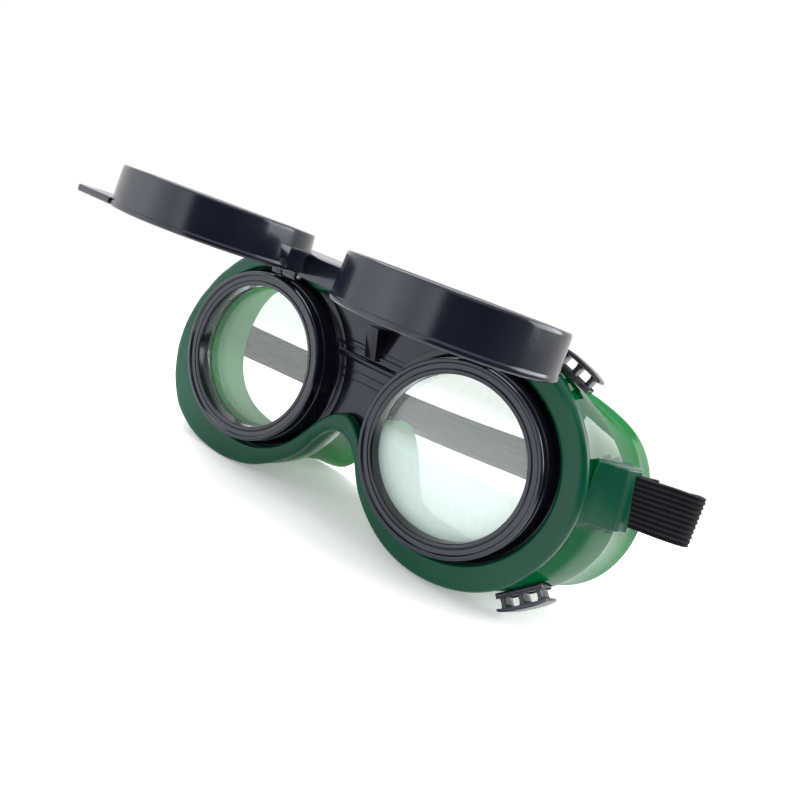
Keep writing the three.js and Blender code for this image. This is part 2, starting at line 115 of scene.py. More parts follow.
def pvc_mat(name, base, base2, thru, thru2, mixf, rough, coat, coat_ior, spec=0.45, fine_bump=0.04):
    """soft green PVC: glossy skin, light passes through thin parts"""
    m, nt, out = new_mat(name)
    L = nt.links.new
    co = N(nt, "ShaderNodeTexCoord")
    big = N(nt, "ShaderNodeTexNoise", Scale=38.0, Detail=3.0, Roughness=0.5)
    fine = N(nt, "ShaderNodeTexNoise", Scale=420.0, Detail=4.0, Roughness=0.6)
    wob = N(nt, "ShaderNodeTexNoise", Scale=30.0, Detail=2.0, Roughness=0.45)
    for t in (big, fine, wob):
        L(co.outputs["Object"], t.inputs["Vector"])
    c = ramp(nt, big.outputs["Fac"], [(0.25, base), (0.75, base2)])
    ct = ramp(nt, big.outputs["Fac"], [(0.25, thru), (0.75, thru2)])
    bs = nt.nodes.new("ShaderNodeBsdfPrincipled")
    L(c.outputs["Color"], bs.inputs["Base Color"])
    rr = N(nt, "ShaderNodeMapRange")
    rr.inputs["To Min"].default_value = rough
    rr.inputs["To Max"].default_value = rough + 0.09
    L(fine.outputs["Fac"], rr.inputs["Value"])
    L(rr.outputs["Result"], bs.inputs["Roughness"])
    bs.inputs["Specular IOR Level"].default_value = spec
    bs.inputs["IOR"].default_value = 1.5
    bs.inputs["Coat Weight"].default_value = coat
    bs.inputs["Coat IOR"].default_value = coat_ior
    bs.inputs["Coat Roughness"].default_value = 0.06
    if coat:
        # the lower side wall is duller just behind the rim
        sp = N(nt, "ShaderNodeSeparateXYZ"); L(co.outputs["Object"], sp.inputs["Vector"])
        gy = N(nt, "ShaderNodeMapRange"); gy.interpolation_type = "SMOOTHSTEP"
        gy.inputs["From Min"].default_value = 0.0050; gy.inputs["From Max"].default_value = 0.0085
        gy.inputs["To Min"].default_value = 0.04; L(sp.outputs["Y"], gy.inputs["Value"])
        gz = N(nt, "ShaderNodeMapRange"); gz.interpolation_type = "SMOOTHSTEP"
        gz.inputs["From Min"].default_value = 0.034; gz.inputs["From Max"].default_value = 0.044
        L(sp.outputs["Z"], gz.inputs["Value"])
        gm = N(nt, "ShaderNodeMath"); gm.operation = "MAXIMUM"
        L(gy.outputs["Result"], gm.inputs[0]); L(gz.outputs["Result"], gm.inputs[1])
        gc = N(nt, "ShaderNodeMath"); gc.operation = "MULTIPLY"; gc.inputs[1].default_value = coat
        L(gm.outputs["Value"], gc.inputs[0]); L(gc.outputs["Value"], bs.inputs["Coat Weight"])
        gs = N(nt, "ShaderNodeMath"); gs.operation = "MULTIPLY_ADD"; gs.inputs[1].default_value = spec * 0.8; gs.inputs[2].default_value = spec * 0.2
        L(gm.outputs["Value"], gs.inputs[0]); L(gs.outputs["Value"], bs.inputs["Specular IOR Level"])
    b1 = N(nt, "ShaderNodeBump", Strength=0.22, Distance=0.0014)
    L(wob.outputs["Fac"], b1.inputs["Height"])
    b2 = N(nt, "ShaderNodeBump", Strength=fine_bump, Distance=0.0003)
    L(fine.outputs["Fac"], b2.inputs["Height"])
    L(b1.outputs["Normal"], b2.inputs["Normal"])
    L(b2.outputs["Normal"], bs.inputs["Normal"])
    tr = nt.nodes.new("ShaderNodeBsdfTranslucent")
    L(ct.outputs["Color"], tr.inputs["Color"])
    mix = N(nt, "ShaderNodeMixShader", Fac=mixf)
    L(bs.outputs["BSDF"], mix.inputs[1])
    L(tr.outputs["BSDF"], mix.inputs[2])
    L(mix.outputs["Shader"], out.inputs["Surface"])
    return m
M_PVC = pvc_mat("green_soft_pvc", lin(0, 78, 44), lin(0, 92, 52), lin(0, 170, 84), lin(2, 186, 94), 0.30, 0.06, 0.5, 1.5, 0.28)
# darker copy of the green PVC for the front rim: its darker base and through colours are painted shade; no coat and a
# rougher skin make it duller
M_RIM_PAINTED_SHADE = pvc_mat("green_pvc_front_rim_painted_shade", lin(0, 60, 42), lin(0, 72, 50), lin(0, 140, 84), lin(2, 152, 92), 0.12, 0.20, 0.0, 1.5, 0.26, 0.01)
# lighter copy of the green PVC for the inner walls round the eyes: its brighter base colour is painted light, as if lit
# through the wall; a rough, nearly unreflective skin gives the frosted look
M_INSIDE_PAINTED_LIGHT = pvc_mat("green_pvc_inside_frosted_painted_light", lin(0, 104, 50), lin(0, 118, 58), lin(0, 168, 76), lin(0, 182, 84), 0.45, 0.6, 0.0, 1.5, 0.03)
# lighter, more translucent copy of the green PVC for the rear skirt: its brighter base and through colours are painted
# light, as if lit from behind
M_SKIRT_PAINTED_LIGHT = pvc_mat("green_pvc_skirt_painted_backlight", lin(0, 112, 56), lin(0, 126, 64), lin(0, 178, 84), lin(2, 190, 94), 0.48, 0.14, 0.0, 1.5, 0.25)

def clear_lens_mat():
    """clear cover lens, a little hazed by dust and fine scratches, with a painted reflection veil over the lower part
    of the wearer's left lens
    """
    m, nt, out = new_mat("clear_lens_hazed")
    L = nt.links.new
    co = N(nt, "ShaderNodeTexCoord")
    n = N(nt, "ShaderNodeTexNoise", Scale=420.0, Detail=7.0, Roughness=0.75)
    L(co.outputs["Object"], n.inputs["Vector"])
    tp = N(nt, "ShaderNodeBsdfTransparent")
    tp.inputs["Color"].default_value = (0.93, 0.965, 0.945, 1)
    di = N(nt, "ShaderNodeBsdfDiffuse", Roughness=0.3)
    di.inputs["Color"].default_value = (0.90, 0.93, 0.91, 1)
    tl = N(nt, "ShaderNodeBsdfTranslucent")
    tl.inputs["Color"].default_value = (0.92, 0.95, 0.93, 1)
    haze = N(nt, "ShaderNodeMixShader", Fac=0.55)
    L(di.outputs["BSDF"], haze.inputs[1]); L(tl.outputs["BSDF"], haze.inputs[2])
    k = N(nt, "ShaderNodeMapRange")
    k.inputs["From Min"].default_value = 0.3; k.inputs["From Max"].default_value = 0.75
    k.inputs["To Min"].default_value = 0.075; k.inputs["To Max"].default_value = 0.135
    L(n.outputs["Fac"], k.inputs["Value"])
    body = nt.nodes.new("ShaderNodeMixShader")
    sp = N(nt, "ShaderNodeSeparateXYZ"); L(co.outputs["Object"], sp.inputs["Vector"])
    # painted reflection veil: a haze that grows towards the lower part of the lens
    low = N(nt, "ShaderNodeMapRange"); low.interpolation_type = "SMOOTHSTEP"
    low.inputs["From Min"].default_value = 0.0034; low.inputs["From Max"].default_value = -0.0046
    low.inputs["To Min"].default_value = 0.0; low.inputs["To Max"].default_value = 0.50
    q1 = N(nt, "ShaderNodeMath"); q1.operation = "MULTIPLY_ADD"; q1.inputs[1].default_value = -0.03; q1.inputs[2].default_value = -0.0382
    L(sp.outputs["X"], q1.inputs[0])
    q2 = N(nt, "ShaderNodeMath"); q2.operation = "ADD"
    L(q1.outputs["Value"], q2.inputs[0]); L(sp.outputs["Z"], q2.inputs[1])
    L(q2.outputs["Value"], low.inputs["Value"])
    # the wearer's left lens carries more of the dust haze and all of the painted reflection veil
    sd = N(nt, "ShaderNodeMapRange"); sd.interpolation_type = "SMOOTHSTEP"
    sd.inputs["From Min"].default_value = -0.01; sd.inputs["From Max"].default_value = 0.01
    sd.inputs["To Min"].default_value = 0.05; sd.inputs["To Max"].default_value = 1.0
    L(sp.outputs["X"], sd.inputs["Value"])
    veil = N(nt, "ShaderNodeMath"); veil.operation = "MULTIPLY"
    L(low.outputs["Result"], veil.inputs[0]); L(sd.outputs["Result"], veil.inputs[1])
    dust_and_veil = N(nt, "ShaderNodeMath"); dust_and_veil.operation = "ADD"
    kw = N(nt, "ShaderNodeMath"); kw.operation = "MULTIPLY_ADD"; kw.inputs[1].default_value = 0.85; kw.inputs[2].default_value = 0.62
    L(sd.outputs["Result"], kw.inputs[0])
    kk = N(nt, "ShaderNodeMath"); kk.operation = "MULTIPLY"
    L(k.outputs["Result"], kk.inputs[0]); L(kw.outputs["Value"], kk.inputs[1])
    L(kk.outputs["Value"], dust_and_veil.inputs[0]); L(veil.outputs["Value"], dust_and_veil.inputs[1])
    L(dust_and_veil.outputs["Value"], body.inputs["Fac"])
    # the haze turns pale green-cyan where the painted reflection veil lies
    veil_tint = ramp(nt, veil.outputs["Value"], [(0.0, (0.90, 0.93, 0.91)), (0.38, (0.88, 0.97, 0.96))])
    L(veil_tint.outputs["Color"], di.inputs["Color"]); L(veil_tint.outputs["Color"], tl.inputs["Color"])
    L(tp.outputs["BSDF"], body.inputs[1]); L(haze.outputs["Shader"], body.inputs[2])
    gl = N(nt, "ShaderNodeBsdfGlossy", Roughness=0.03)
    gl.inputs["Color"].default_value = (1, 1, 1, 1)
    lw = N(nt, "ShaderNodeLayerWeight", Blend=0.5)
    p5 = N(nt, "ShaderNodeMath"); p5.operation = "POWER"; p5.inputs[1].default_value = 5.0
    L(lw.outputs["Facing"], p5.inputs[0])
    fr = N(nt, "ShaderNodeMath"); fr.operation = "MULTIPLY_ADD"; fr.inputs[1].default_value = 0.9; fr.inputs[2].default_value = 0.035
    L(p5.outputs["Value"], fr.inputs[0])
    top = nt.nodes.new("ShaderNodeMixShader")
    L(fr.outputs["Value"], top.inputs["Fac"])
    L(body.outputs["Shader"], top.inputs[1]); L(gl.outputs["BSDF"], top.inputs[2])
    L(top.outputs["Shader"], out.inputs["Surface"])
    return m
M_CLEAR = clear_lens_mat()

def shade_lens_mat():
    m, nt, out = new_mat("dark_green_shade_lens")
    L = nt.links.new
    co = N(nt, "ShaderNodeTexCoord")
    n = N(nt, "ShaderNodeTexNoise", Scale=45.0, Detail=5.0, Roughness=0.6)
    L(co.outputs["Object"], n.inputs["Vector"])
    bs = nt.nodes.new("ShaderNodeBsdfPrincipled")
    c = ramp(nt, n.outputs["Fac"], [(0.3, (0.004, 0.022, 0.010)), (0.75, (0.007, 0.030, 0.014))])
    L(c.outputs["Color"], bs.inputs["Base Color"])
    r = N(nt, "ShaderNodeMapRange")
    r.inputs["To Min"].default_value = 0.03; r.inputs["To Max"].default_value = 0.09
    L(n.outputs["Fac"], r.inputs["Value"]); L(r.outputs["Result"], bs.inputs["Roughness"])
    bs.inputs["Transmission Weight"].default_value = 0.25
    bs.inputs["IOR"].default_value = 1.52
    bs.inputs["Coat Weight"].default_value = 0.5
    bs.inputs["Coat Roughness"].default_value = 0.02
    L(bs.outputs["BSDF"], out.inputs["Surface"])
    return m
M_SHADE = shade_lens_mat()

def webbing_mat():
    """elastic webbing: ten ribs are modelled; the fine slanted threads between them come from the UVs (mm)"""
    m, nt, out = new_mat("black_elastic_webbing")
    L = nt.links.new
    uv = N(nt, "ShaderNodeTexCoord")
    sep = N(nt, "ShaderNodeSeparateXYZ")
    L(uv.outputs["UV"], sep.inputs["Vector"])
    def math_(op, a, b=None, v=None):
        n = N(nt, "ShaderNodeMath"); n.operation = op
        L(a, n.inputs[0])
        if b is not None: L(b, n.inputs[1])
        elif v is not None: n.inputs[1].default_value = v
        return n.outputs["Value"]
    # rib height from the place across the band
    across = math_("MULTIPLY", sep.outputs["Y"], v=2 * math.pi / 1.42)
    rib = math_("COSINE", across)
    # slanted threads, leaning the other way on every second rib
    half = math_("SINE", math_("MULTIPLY", across, v=0.5))
    lean = math_("SIGN", half)
    slant = math_("MULTIPLY", math_("MULTIPLY", sep.outputs["Y"], lean), v=4.4)
    th = math_("SINE", math_("ADD", math_("MULTIPLY", sep.outputs["X"], v=2 * math.pi / 0.62), slant))
    fz = N(nt, "ShaderNodeTexNoise", Scale=2.6, Detail=6.0, Roughness=0.8)
    L(uv.outputs["UV"], fz.inputs["Vector"])
    h = math_("ADD", math_("MULTIPLY", rib, v=0.30), math_("MULTIPLY", th, v=0.14))
    h = math_("ADD", h, math_("MULTIPLY", fz.outputs["Fac"], v=0.40))
    # colour follows the weave height: the grooves between ribs and threads are painted darker as shade and the crests
    # lighter; the fuzz noise adds random tone
    c = ramp(nt, h, [(0.0, (0.0010, 0.0010, 0.0020)), (0.30, (0.0025, 0.0025, 0.0045)), (0.50, (0.009, 0.009, 0.013)), (0.66, (0.045, 0.046, 0.058))])
    bs = nt.nodes.new("ShaderNodeBsdfPrincipled")
    L(c.outputs["Color"], bs.inputs["Base Color"])
    r = N(nt, "ShaderNodeMapRange")
    r.inputs["To Min"].default_value = 0.6; r.inputs["To Max"].default_value = 0.85
    L(fz.outputs["Fac"], r.inputs["Value"]); L(r.outputs["Result"], bs.inputs["Roughness"])
    bs.inputs["Specular IOR Level"].default_value = 0.12
    bs.inputs["Sheen Weight"].default_value = 0.01
    bs.inputs["Sheen Roughness"].default_value = 0.4
    b = N(nt, "ShaderNodeBump", Strength=0.8, Distance=0.0004)
    L(h, b.inputs["Height"])
    L(b.outputs["Normal"], bs.inputs["Normal"])
    L(bs.outputs["BSDF"], out.inputs["Surface"])
    return m
M_WEB = webbing_mat()

def steel_mat():
    m, nt, out = new_mat("hinge_pin_steel")
    L = nt.links.new
    co = N(nt, "ShaderNodeTexCoord")
    n = N(nt, "ShaderNodeTexNoise", Scale=700.0, Detail=3.0, Roughness=0.6)
    L(co.outputs["Object"], n.inputs["Vector"])
    bs = nt.nodes.new("ShaderNodeBsdfPrincipled")
    c = ramp(nt, n.outputs["Fac"], [(0.3, (0.42, 0.42, 0.43)), (0.7, (0.6, 0.6, 0.61))])
    L(c.outputs["Color"], bs.inputs["Base Color"])
    bs.inputs["Metallic"].default_value = 1.0
    r = N(nt, "ShaderNodeMapRange")
    r.inputs["To Min"].default_value = 0.25; r.inputs["To Max"].default_value = 0.45
    L(n.outputs["Fac"], r.inputs["Value"]); L(r.outputs["Result"], bs.inputs["Roughness"])
    L(bs.outputs["BSDF"], out.inputs["Surface"])
    return m
M_PIN = steel_mat()

# =============================================================== mesh helpers
class Shell:
    def __init__(self):
        self.V = np.zeros((0, 3)); self.F = []
    def add(self, V, F):
        o = len(self.V)
        V = np.asarray(V, float)
        F = [tuple(f) for f in F]
        # face out
        vol = 0.0
        for f in F:
            a = V[f[0]]
            for k in range(1, len(f) - 1):
                vol += np.dot(a, np.cross(V[f[k]], V[f[k + 1]]))
        if vol < 0:
            F = [tuple(reversed(f)) for f in F]
        self.V = np.vstack([self.V, V])
        self.F += [tuple(i + o for i in f) for f in F]
        return self
    def mirrored(self):
        s = Shell()
        s.V = self.V * np.array([-1, 1, 1]); s.F = [tuple(reversed(f)) for f in self.F]
        return s

def to_obj(name, shell, mat, sharp=38):
    me = bpy.data.meshes.new(name)
    me.from_pydata(((shell.V + SH) / 1000).tolist(), [], shell.F)
    me.validate(); me.update()
    me.materials.append(mat)
    me.polygons.foreach_set("use_smooth", [True] * len(me.polygons))
    me.set_sharp_from_angle(angle=math.radians(sharp))
    ob = bpy.data.objects.new(name, me)
    scene.collection.objects.link(ob)
    return ob

def frame_has(node):
    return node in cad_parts

def piece(ob, body, slot, *nodes):
    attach(ob, body)
    if nodes:
        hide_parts(*nodes)
    return ob

def fillet2(profile, n=4):
    """closed polygon [(r, h, rad)] -> rounded closed polygon"""
    P = np.array([p[:2] for p in profile], float)
    rad = [p[2] if len(p) > 2 else 0.0 for p in profile]
    out = []
    m = len(P)
    for j in range(m):
        a, p, b = P[j - 1], P[j], P[(j + 1) % m]
        if rad[j] <= 0:
            out.append(p); continue
        la, lb = np.linalg.norm(a - p), np.linalg.norm(b - p)
        d = min(rad[j], 0.48 * la, 0.48 * lb)
        A, B = p + (a - p) * d / la, p + (b - p) * d / lb
        for t in np.linspace(0, 1, n + 1):
            out.append((1 - t) ** 2 * A + 2 * t * (1 - t) * p + t * t * B)
    return np.array(out)

def lathe(profile, cx, cy, cz, axis="y", seg=144, n=4):
    """closed profile (radius, height, fillet) turned about an axis through (cx, cy, cz)"""
    P = fillet2(profile, n)
    m = len(P)
    th = np.linspace(0, 2 * np.pi, seg, endpoint=False)
    V = np.zeros((seg, m, 3))
    for i, t in enumerate(th):
        c, s = math.cos(t), math.sin(t)
        if axis == "y":
            V[i, :, 0] = cx + P[:, 0] * c; V[i, :, 1] = cy + P[:, 1]; V[i, :, 2] = cz + P[:, 0] * s
        elif axis == "z":
            V[i, :, 0] = cx + P[:, 0] * c; V[i, :, 1] = cy + P[:, 0] * s; V[i, :, 2] = cz + P[:, 1]
        else:
            V[i, :, 0] = cx + P[:, 1]; V[i, :, 1] = cy + P[:, 0] * c; V[i, :, 2] = cz + P[:, 0] * s
    F = []
    for i in range(seg):
        i2 = (i + 1) % seg
        for j in range(m):
            j2 = (j + 1) % m
            F.append((i * m + j, i * m + j2, i2 * m + j2, i2 * m + j))
    return V.reshape(-1, 3), F

def disc(profile, cx, cy, cz, axis="y", seg=144, n=4):
    """open profile starting and ending on the axis (radius 0)"""
    P = fillet2(profile, n)
    i0 = [k for k in range(len(P)) if P[k][0] < 1e-9]
    ring = P[[k for k in range(len(P)) if P[k][0] >= 1e-9]]
    h0, h1 = P[i0[0]][1], P[i0[-1]][1]
    m = len(ring)
    th = np.linspace(0, 2 * np.pi, seg, endpoint=False)
    def place(r, h, t):
        c, s = math.cos(t), math.sin(t)
        return (cx + r * c, cy + h, cz + r * s) if axis == "y" else (cx + r * c, cy + r * s, cz + h)
    V = [place(r, h, t) for t in th for r, h in ring]
    V += [place(0, h0, 0), place(0, h1, 0)]
    a, b = seg * m, seg * m + 1
    F = []
    for i in range(seg):
        i2 = (i + 1) % seg
        for j in range(m - 1):
            F.append((i * m + j, i * m + j + 1, i2 * m + j + 1, i2 * m + j))
        F.append((a, i * m, i2 * m))
        F.append((b, i2 * m + m - 1, i * m + m - 1))
    return V, F

def prism(poly, axis, a, b, bevel=0.25, seg=2):
    """polygon run along an axis, all its edges rounded. x: poly is (y, z); y: (x, z); z: (x, y)"""
    bm = bmesh.new()
    n = len(poly)
    def P(p, t):
        return {"x": (t, p[0], p[1]), "y": (p[0], t, p[1]), "z": (p[0], p[1], t)}[axis]
    lo = [bm.verts.new(P(p, a)) for p in poly]
    hi = [bm.verts.new(P(p, b)) for p in poly]
    bm.faces.new(lo); bm.faces.new(list(reversed(hi)))
    for i in range(n):
        j = (i + 1) % n
        bm.faces.new((lo[j], lo[i], hi[i], hi[j]))
    bmesh.ops.recalc_face_normals(bm, faces=bm.faces)
    if bevel > 0:
        bmesh.ops.bevel(bm, geom=list(bm.edges), offset=bevel, segments=seg, profile=0.6, affect="EDGES", clamp_overlap=True)
    bmesh.ops.recalc_face_normals(bm, faces=bm.faces)
    bm.verts.index_update()
    V = [tuple(v.co) for v in bm.verts]
    F = [tuple(v.index for v in f.verts) for f in bm.faces]
    bm.free()
    return V, F

def box(x0, x1, y0, y1, z0, z1, bevel=0.25, seg=2):
    return prism([(x0, y0), (x1, y0), (x1, y1), (x0, y1)], "z", z0, z1, bevel, seg)

def circle(cx, cy, r, n=32):
    return [(cx + r * math.cos(2 * math.pi * i / n), cy + r * math.sin(2 * math.pi * i / n)) for i in range(n)]

def boolean(ob, cutters, op="DIFFERENCE", solver="EXACT"):
    for c in cutters:
        md = ob.modifiers.new("b", "BOOLEAN")
        md.operation = op; md.object = c; md.solver = solver
    dg = bpy.context.evaluated_depsgraph_get()
    me = bpy.data.meshes.new_from_object(ob.evaluated_get(dg))
    ob.modifiers.clear()
    old = ob.data
    ob.data = me
    bpy.data.meshes.remove(old)
    for c in cutters:
        d = c.data
        bpy.data.objects.remove(c)
        bpy.data.meshes.remove(d)
    return ob

def temp(V, F):
    return to_obj("tmp_cut", Shell().add(V, F), M_FRAME)

# =============================================================== outlines
OPENING = [(0, 25.6), (8, 25.8), (17, 26.5), (26.8, 29.0), (38.5, 31.3), (50.2, 29.0),
  (60.2, 22.5), (66.6, 13.7), (69.5, 4.4), (69.3, -5.4), (66.1, -14.7), (60.2, -22.5),
  (51.2, -28.6), (39.6, -31.3), (27.8, -29.4), (16.8, -22.5), (9.5, -11.7), (4.2, -6.2), (0, -4.5)]
FRONT = [(0, 29.6), (7.5, 30.2), (15.5, 32.0), (24.3, 35.2), (38.5, 38.0), (52.7, 35.2),
  (64.9, 27.3), (72.7, 16.7), (76.1, 5.3), (75.9, -6.6), (72.1, -17.9), (65.6, -28.0),
  (54.2, -35.4), (39.8, -38.0), (25.8, -34.8), (13.8, -25.5), (8.5, -16.5), (4.5, -11.8), (0, -10.4)]
CREASE = [(0, 28.4), (7.5, 29.0), (15.5, 30.8), (25, 33.9), (39, 36.4), (53, 34.0),
  (66, 27.6), (76.5, 20.0), (83.0, 9.5), (84.8, -3.5), (82.8, -14.0), (76, -25.3),
  (62, -35.2), (45, -38.7), (30, -37.4), (17.5, -29.2), (10.5, -19), (5.5, -12.6), (0, -10.6)]
REAR = [(0, 25), (8, 25.6), (17, 27.2), (28, 29.4), (42, 30.6), (55.7, 29.1),
  (68.0, 26.0), (78.0, 21.2), (85.4, 11.6), (88.6, -2), (88.0, -15), (82, -28),
  (69, -36.8), (50, -39.0), (32, -39.0), (18.0, -37.2), (11.5, -28.5), (6.2, -17.5), (0, -11)]
NS = 10

def smooth_closed(P, k=3, times=4):
    for _ in range(times):
        P = 0.5 * P + 0.25 * (np.roll(P, k, 0) + np.roll(P, -k, 0))
    return P

def outline(half):
    c = np.array(list(half) + [(-x, z) for x, z in reversed(half[1:-1])], float)
    n = len(c)
    out = []
    for i in range(n):
        p0, p1, p2, p3 = c[i - 1], c[i], c[(i + 1) % n], c[(i + 2) % n]
        v0, v1 = (p2 - p0) / 2, (p3 - p1) / 2
        for t in np.arange(NS) / NS:
            out.append((2 * t**3 - 3 * t**2 + 1) * p1 + (t**3 - 2 * t**2 + t) * v0 + (-2 * t**3 + 3 * t**2) * p2 + (t**3 - t**2) * v1)
    return smooth_closed(np.array(out), max(1, NS // 4), 5)

def offset(line, d):
    t = np.roll(line, -2, 0) - np.roll(line, 2, 0)
    t /= np.linalg.norm(t, axis=1)[:, None]
    return line + d * np.stack([-t[:, 1], t[:, 0]], 1)

O_, F_, K_, R_ = (outline(h) for h in (OPENING, FRONT, CREASE, REAR))
O_ = offset(O_, -0.5)
def lift_top(line, amount, reach=27.0):
    """raises the middle of an outline's top edge"""
    q = line.copy()
    w = np.clip((reach - np.abs(q[:, 0])) / 9.0, 0, 1); w = w * w * (3 - 2 * w)
    q[:, 1] += amount * w * np.clip((q[:, 1] - 15) / 6.0, 0, 1)
    return q
O_ = lift_top(O_, 2.9)
mixl = lambda a, b, t: a + (b - a) * t

# the soft body sags a little on the wearer's right: rounder low corner, flatter shoulder
SAG_A = np.radians([-180, -75, -60, -40, -22, -8, 4, 16, 30, 45, 60, 75, 92, 112, 180])
SAG_D = np.array([0, -0.4, -1.2, -1.9, -1.5, 0.0, 1.7, 3.4, 4.8, 5.2, 4.0, 2.4, 1.0, 0, 0.0])
def sag(V):
    V = np.array(V, float)
    x, y, z = V[:, 0], V[:, 1], V[:, 2]
    dx, dz = -(x + EYE), -z                    # outwards on the right side, downwards
    a = np.arctan2(dz, dx)
    r = np.hypot(dx, dz)
    d = np.interp(a, SAG_A, SAG_D)
    w = np.clip((r - 31.0) / 6.0, 0, 1) * np.clip((52 - y) / 18.0, 0, 1) * np.clip(-x / 12.0, 0, 1)
    w = w * w * (3 - 2 * w)
    r2 = np.maximum(r, 1e-6)
    V[:, 0] = x - dx / r2 * d * w
    V[:, 2] = z - dz / r2 * d * w
    V[:, 2] = np.maximum(V[:, 2], -39.15)
    return V

def ring_loft(st, n=4):
    """closed skin through stations (line, y, fillet); the list closes on itself"""
    P = [np.column_stack([l[:, 0], np.full(len(l), float(y)), l[:, 1]]) for l, y, _ in st]
    rad = [s[2] for s in st]
    m = len(P)
    rings = []
    for j in range(m):
        a, p, b = P[j - 1], P[j], P[(j + 1) % m]
        if rad[j] <= 0:
            rings.append(p); continue
        la = np.linalg.norm(a - p, axis=1)[:, None]; lb = np.linalg.norm(b - p, axis=1)[:, None]
        da = np.minimum(rad[j], 0.48 * la); db = np.minimum(rad[j], 0.48 * lb)
        A, B = p + (a - p) * da / la, p + (b - p) * db / lb
        for t in np.linspace(0, 1, n + 1):
            rings.append((1 - t) ** 2 * A + 2 * t * (1 - t) * p + t * t * B)
    k = len(rings); nn = len(rings[0])
    V = np.concatenate(rings)
    F = []
    for j in range(k):
        j2 = (j + 1) % k
        for i in range(nn):
            i2 = (i + 1) % nn
            F.append((j * nn + i, j * nn + i2, j2 * nn + i2, j2 * nn + i))
    return V, F

# =============================================================== soft mask
def make_mask():
    side = mixl(F_, K_, 0.5)
    back = mixl(K_, R_, 0.42)
    V, F = ring_loft([
        (O_, 6.0, 0.4), (offset(O_, 0.55), 5.45, 0.45), (offset(F_, -1.2), 5.5, 1.2), (F_, 6.7, 1.2), (F_, 8.7, 0.5),
        (offset(F_, -0.75), 9.25, 0.4), (offset(side, 0.25), 16, 3.5), (offset(K_, 0.15), 22.2, 1.1), (offset(K_, -1.15), 24.0, 0.9),
        (offset(back, -1.7), 35, 6), (offset(R_, -1.9), 44.5, 3), (R_, 48.7, 0.6), (offset(R_, -0.3), 50, 0.5),
        (offset(R_, -3.4), 50, 0.6), (offset(R_, -3.6), 45.0, 2.5), (offset(back, -3.7), 35, 6), (offset(K_, -3.1), 23.6, 2.5),
        (offset(side, -2.2), 16, 3), (offset(F_, -2.6), 10.6, 0.8), (offset(F_, -2.75), 9.4, 0.3), (O_, 9.4, 0.5),
    ], 4)
    return to_obj("soft_mask", Shell().add(V, F), M_PVC, 50)

mask = make_mask()

LUG_Z0, LUG_Z1 = 0.2, 14.8
path = np.array([[77.6, 14.6], [80.1, 18.6], [82.6, 21.3], [86.6, 23.6], [93.5, 26.6]])
def thick(p, inner, outer):
    t = np.gradient(p, axis=0); t /= np.linalg.norm(t, axis=1)[:, None]
    nrm = np.stack([t[:, 1], -t[:, 0]], 1)
    return [tuple(q) for q in p + nrm * outer] + [tuple(q) for q in (p - nrm * inner)[::-1]]
lug_block = [(75.2, 9.8), (78.6, 13.3), (81.9, 17.0), (83.0, 18.8), (83.9, 21.2), (84.9, 22.6), (84.6, 27.0), (80.6, 27.4), (76.6, 23.2), (73.2, 15.0), (74.2, 11.0)]
mx = lambda V: [(-v[0], v[1], v[2]) for v in V]
adds, cuts = [], []
for sgn in (1, -1):
    f = (lambda V: V) if sgn > 0 else mx
    V, F = prism(lug_block, "z", LUG_Z0 - 1.5, LUG_Z1 + 1.5, 0.55, 3)
    V = [(v[0] + (14.8 - v[2]) * 0.15 * min(1, max(0, (v[0] - 76) / 6)), v[1], v[2]) for v in V]
    adds.append(temp(f(V), F))
    V, F = prism(thick(path, 3.1, 1.1), "z", LUG_Z0, LUG_Z1, 0.0)
    cuts.append(temp(f(V), F))

VENTS = [
    ("vent_lower", 69.3, -28.6, -46, 17.0, 14.4, 17),
    ("vent_upper", 58.2, 33.2, 69, 16.6, 13.0, -4),
]
SPIN = {"vent_lower": 0.0, "vent_upper": 0.0}
VENT_V = 7.6
def vent_frame(v):
    _, cx, cz, ang, cy, ln, tilt = v
    a, t = math.radians(ang), math.radians(tilt)
    out = np.array([math.cos(a), 0, math.sin(a)])
    w = out * math.cos(t) + np.array([0, -math.sin(t), 0]); w /= np.linalg.norm(w)
    u = np.array([-math.sin(a), 0, math.cos(a)])
    vv = np.cross(w, u); vv /= np.linalg.norm(vv)
    k = math.radians(SPIN[v[0]])
    u, vv = u * math.cos(k) + vv * math.sin(k), vv * math.cos(k) - u * math.sin(k)
    M = np.column_stack([u, vv, w])
    return lambda V: np.asarray(V, float) @ M.T + np.array([cx, cy, cz])
for v in VENTS:
    f0 = vent_frame(v); ln = v[5]
    for sgn in (1, -1):
        f = (lambda V: f0(V)) if sgn > 0 else (lambda V: f0(V) * np.array([-1, 1, 1]))
        V, F = box(-ln / 2 + 2.2, ln / 2 - 2.2, -VENT_V / 2 + 1.5, VENT_V / 2 - 1.5, -9, 6, 0)
        cuts.append(temp(f(V), F))
        V, F = box(-ln / 2 - 0.35, ln / 2 + 0.35, -VENT_V / 2 - 0.35, VENT_V / 2 + 0.35, -0.9, 8, 0)
        cuts.append(temp(f(V), F))
boolean(mask, adds, "UNION")
boolean(mask, cuts, "DIFFERENCE")
me = mask.data
co = np.zeros(len(me.vertices) * 3); me.vertices.foreach_get("co", co)
W = co.reshape(-1, 3) * 1000 - SH
W = sag(W)
me.vertices.foreach_set("co", ((W + SH) / 1000).ravel())
me.update()
me.polygons.foreach_set("use_smooth", [True] * len(me.polygons))
me.set_sharp_from_angle(angle=math.radians(42))
me.materials.append(M_RIM_PAINTED_SHADE); me.materials.append(M_SKIRT_PAINTED_LIGHT); me.materials.append(M_INSIDE_PAINTED_LIGHT)
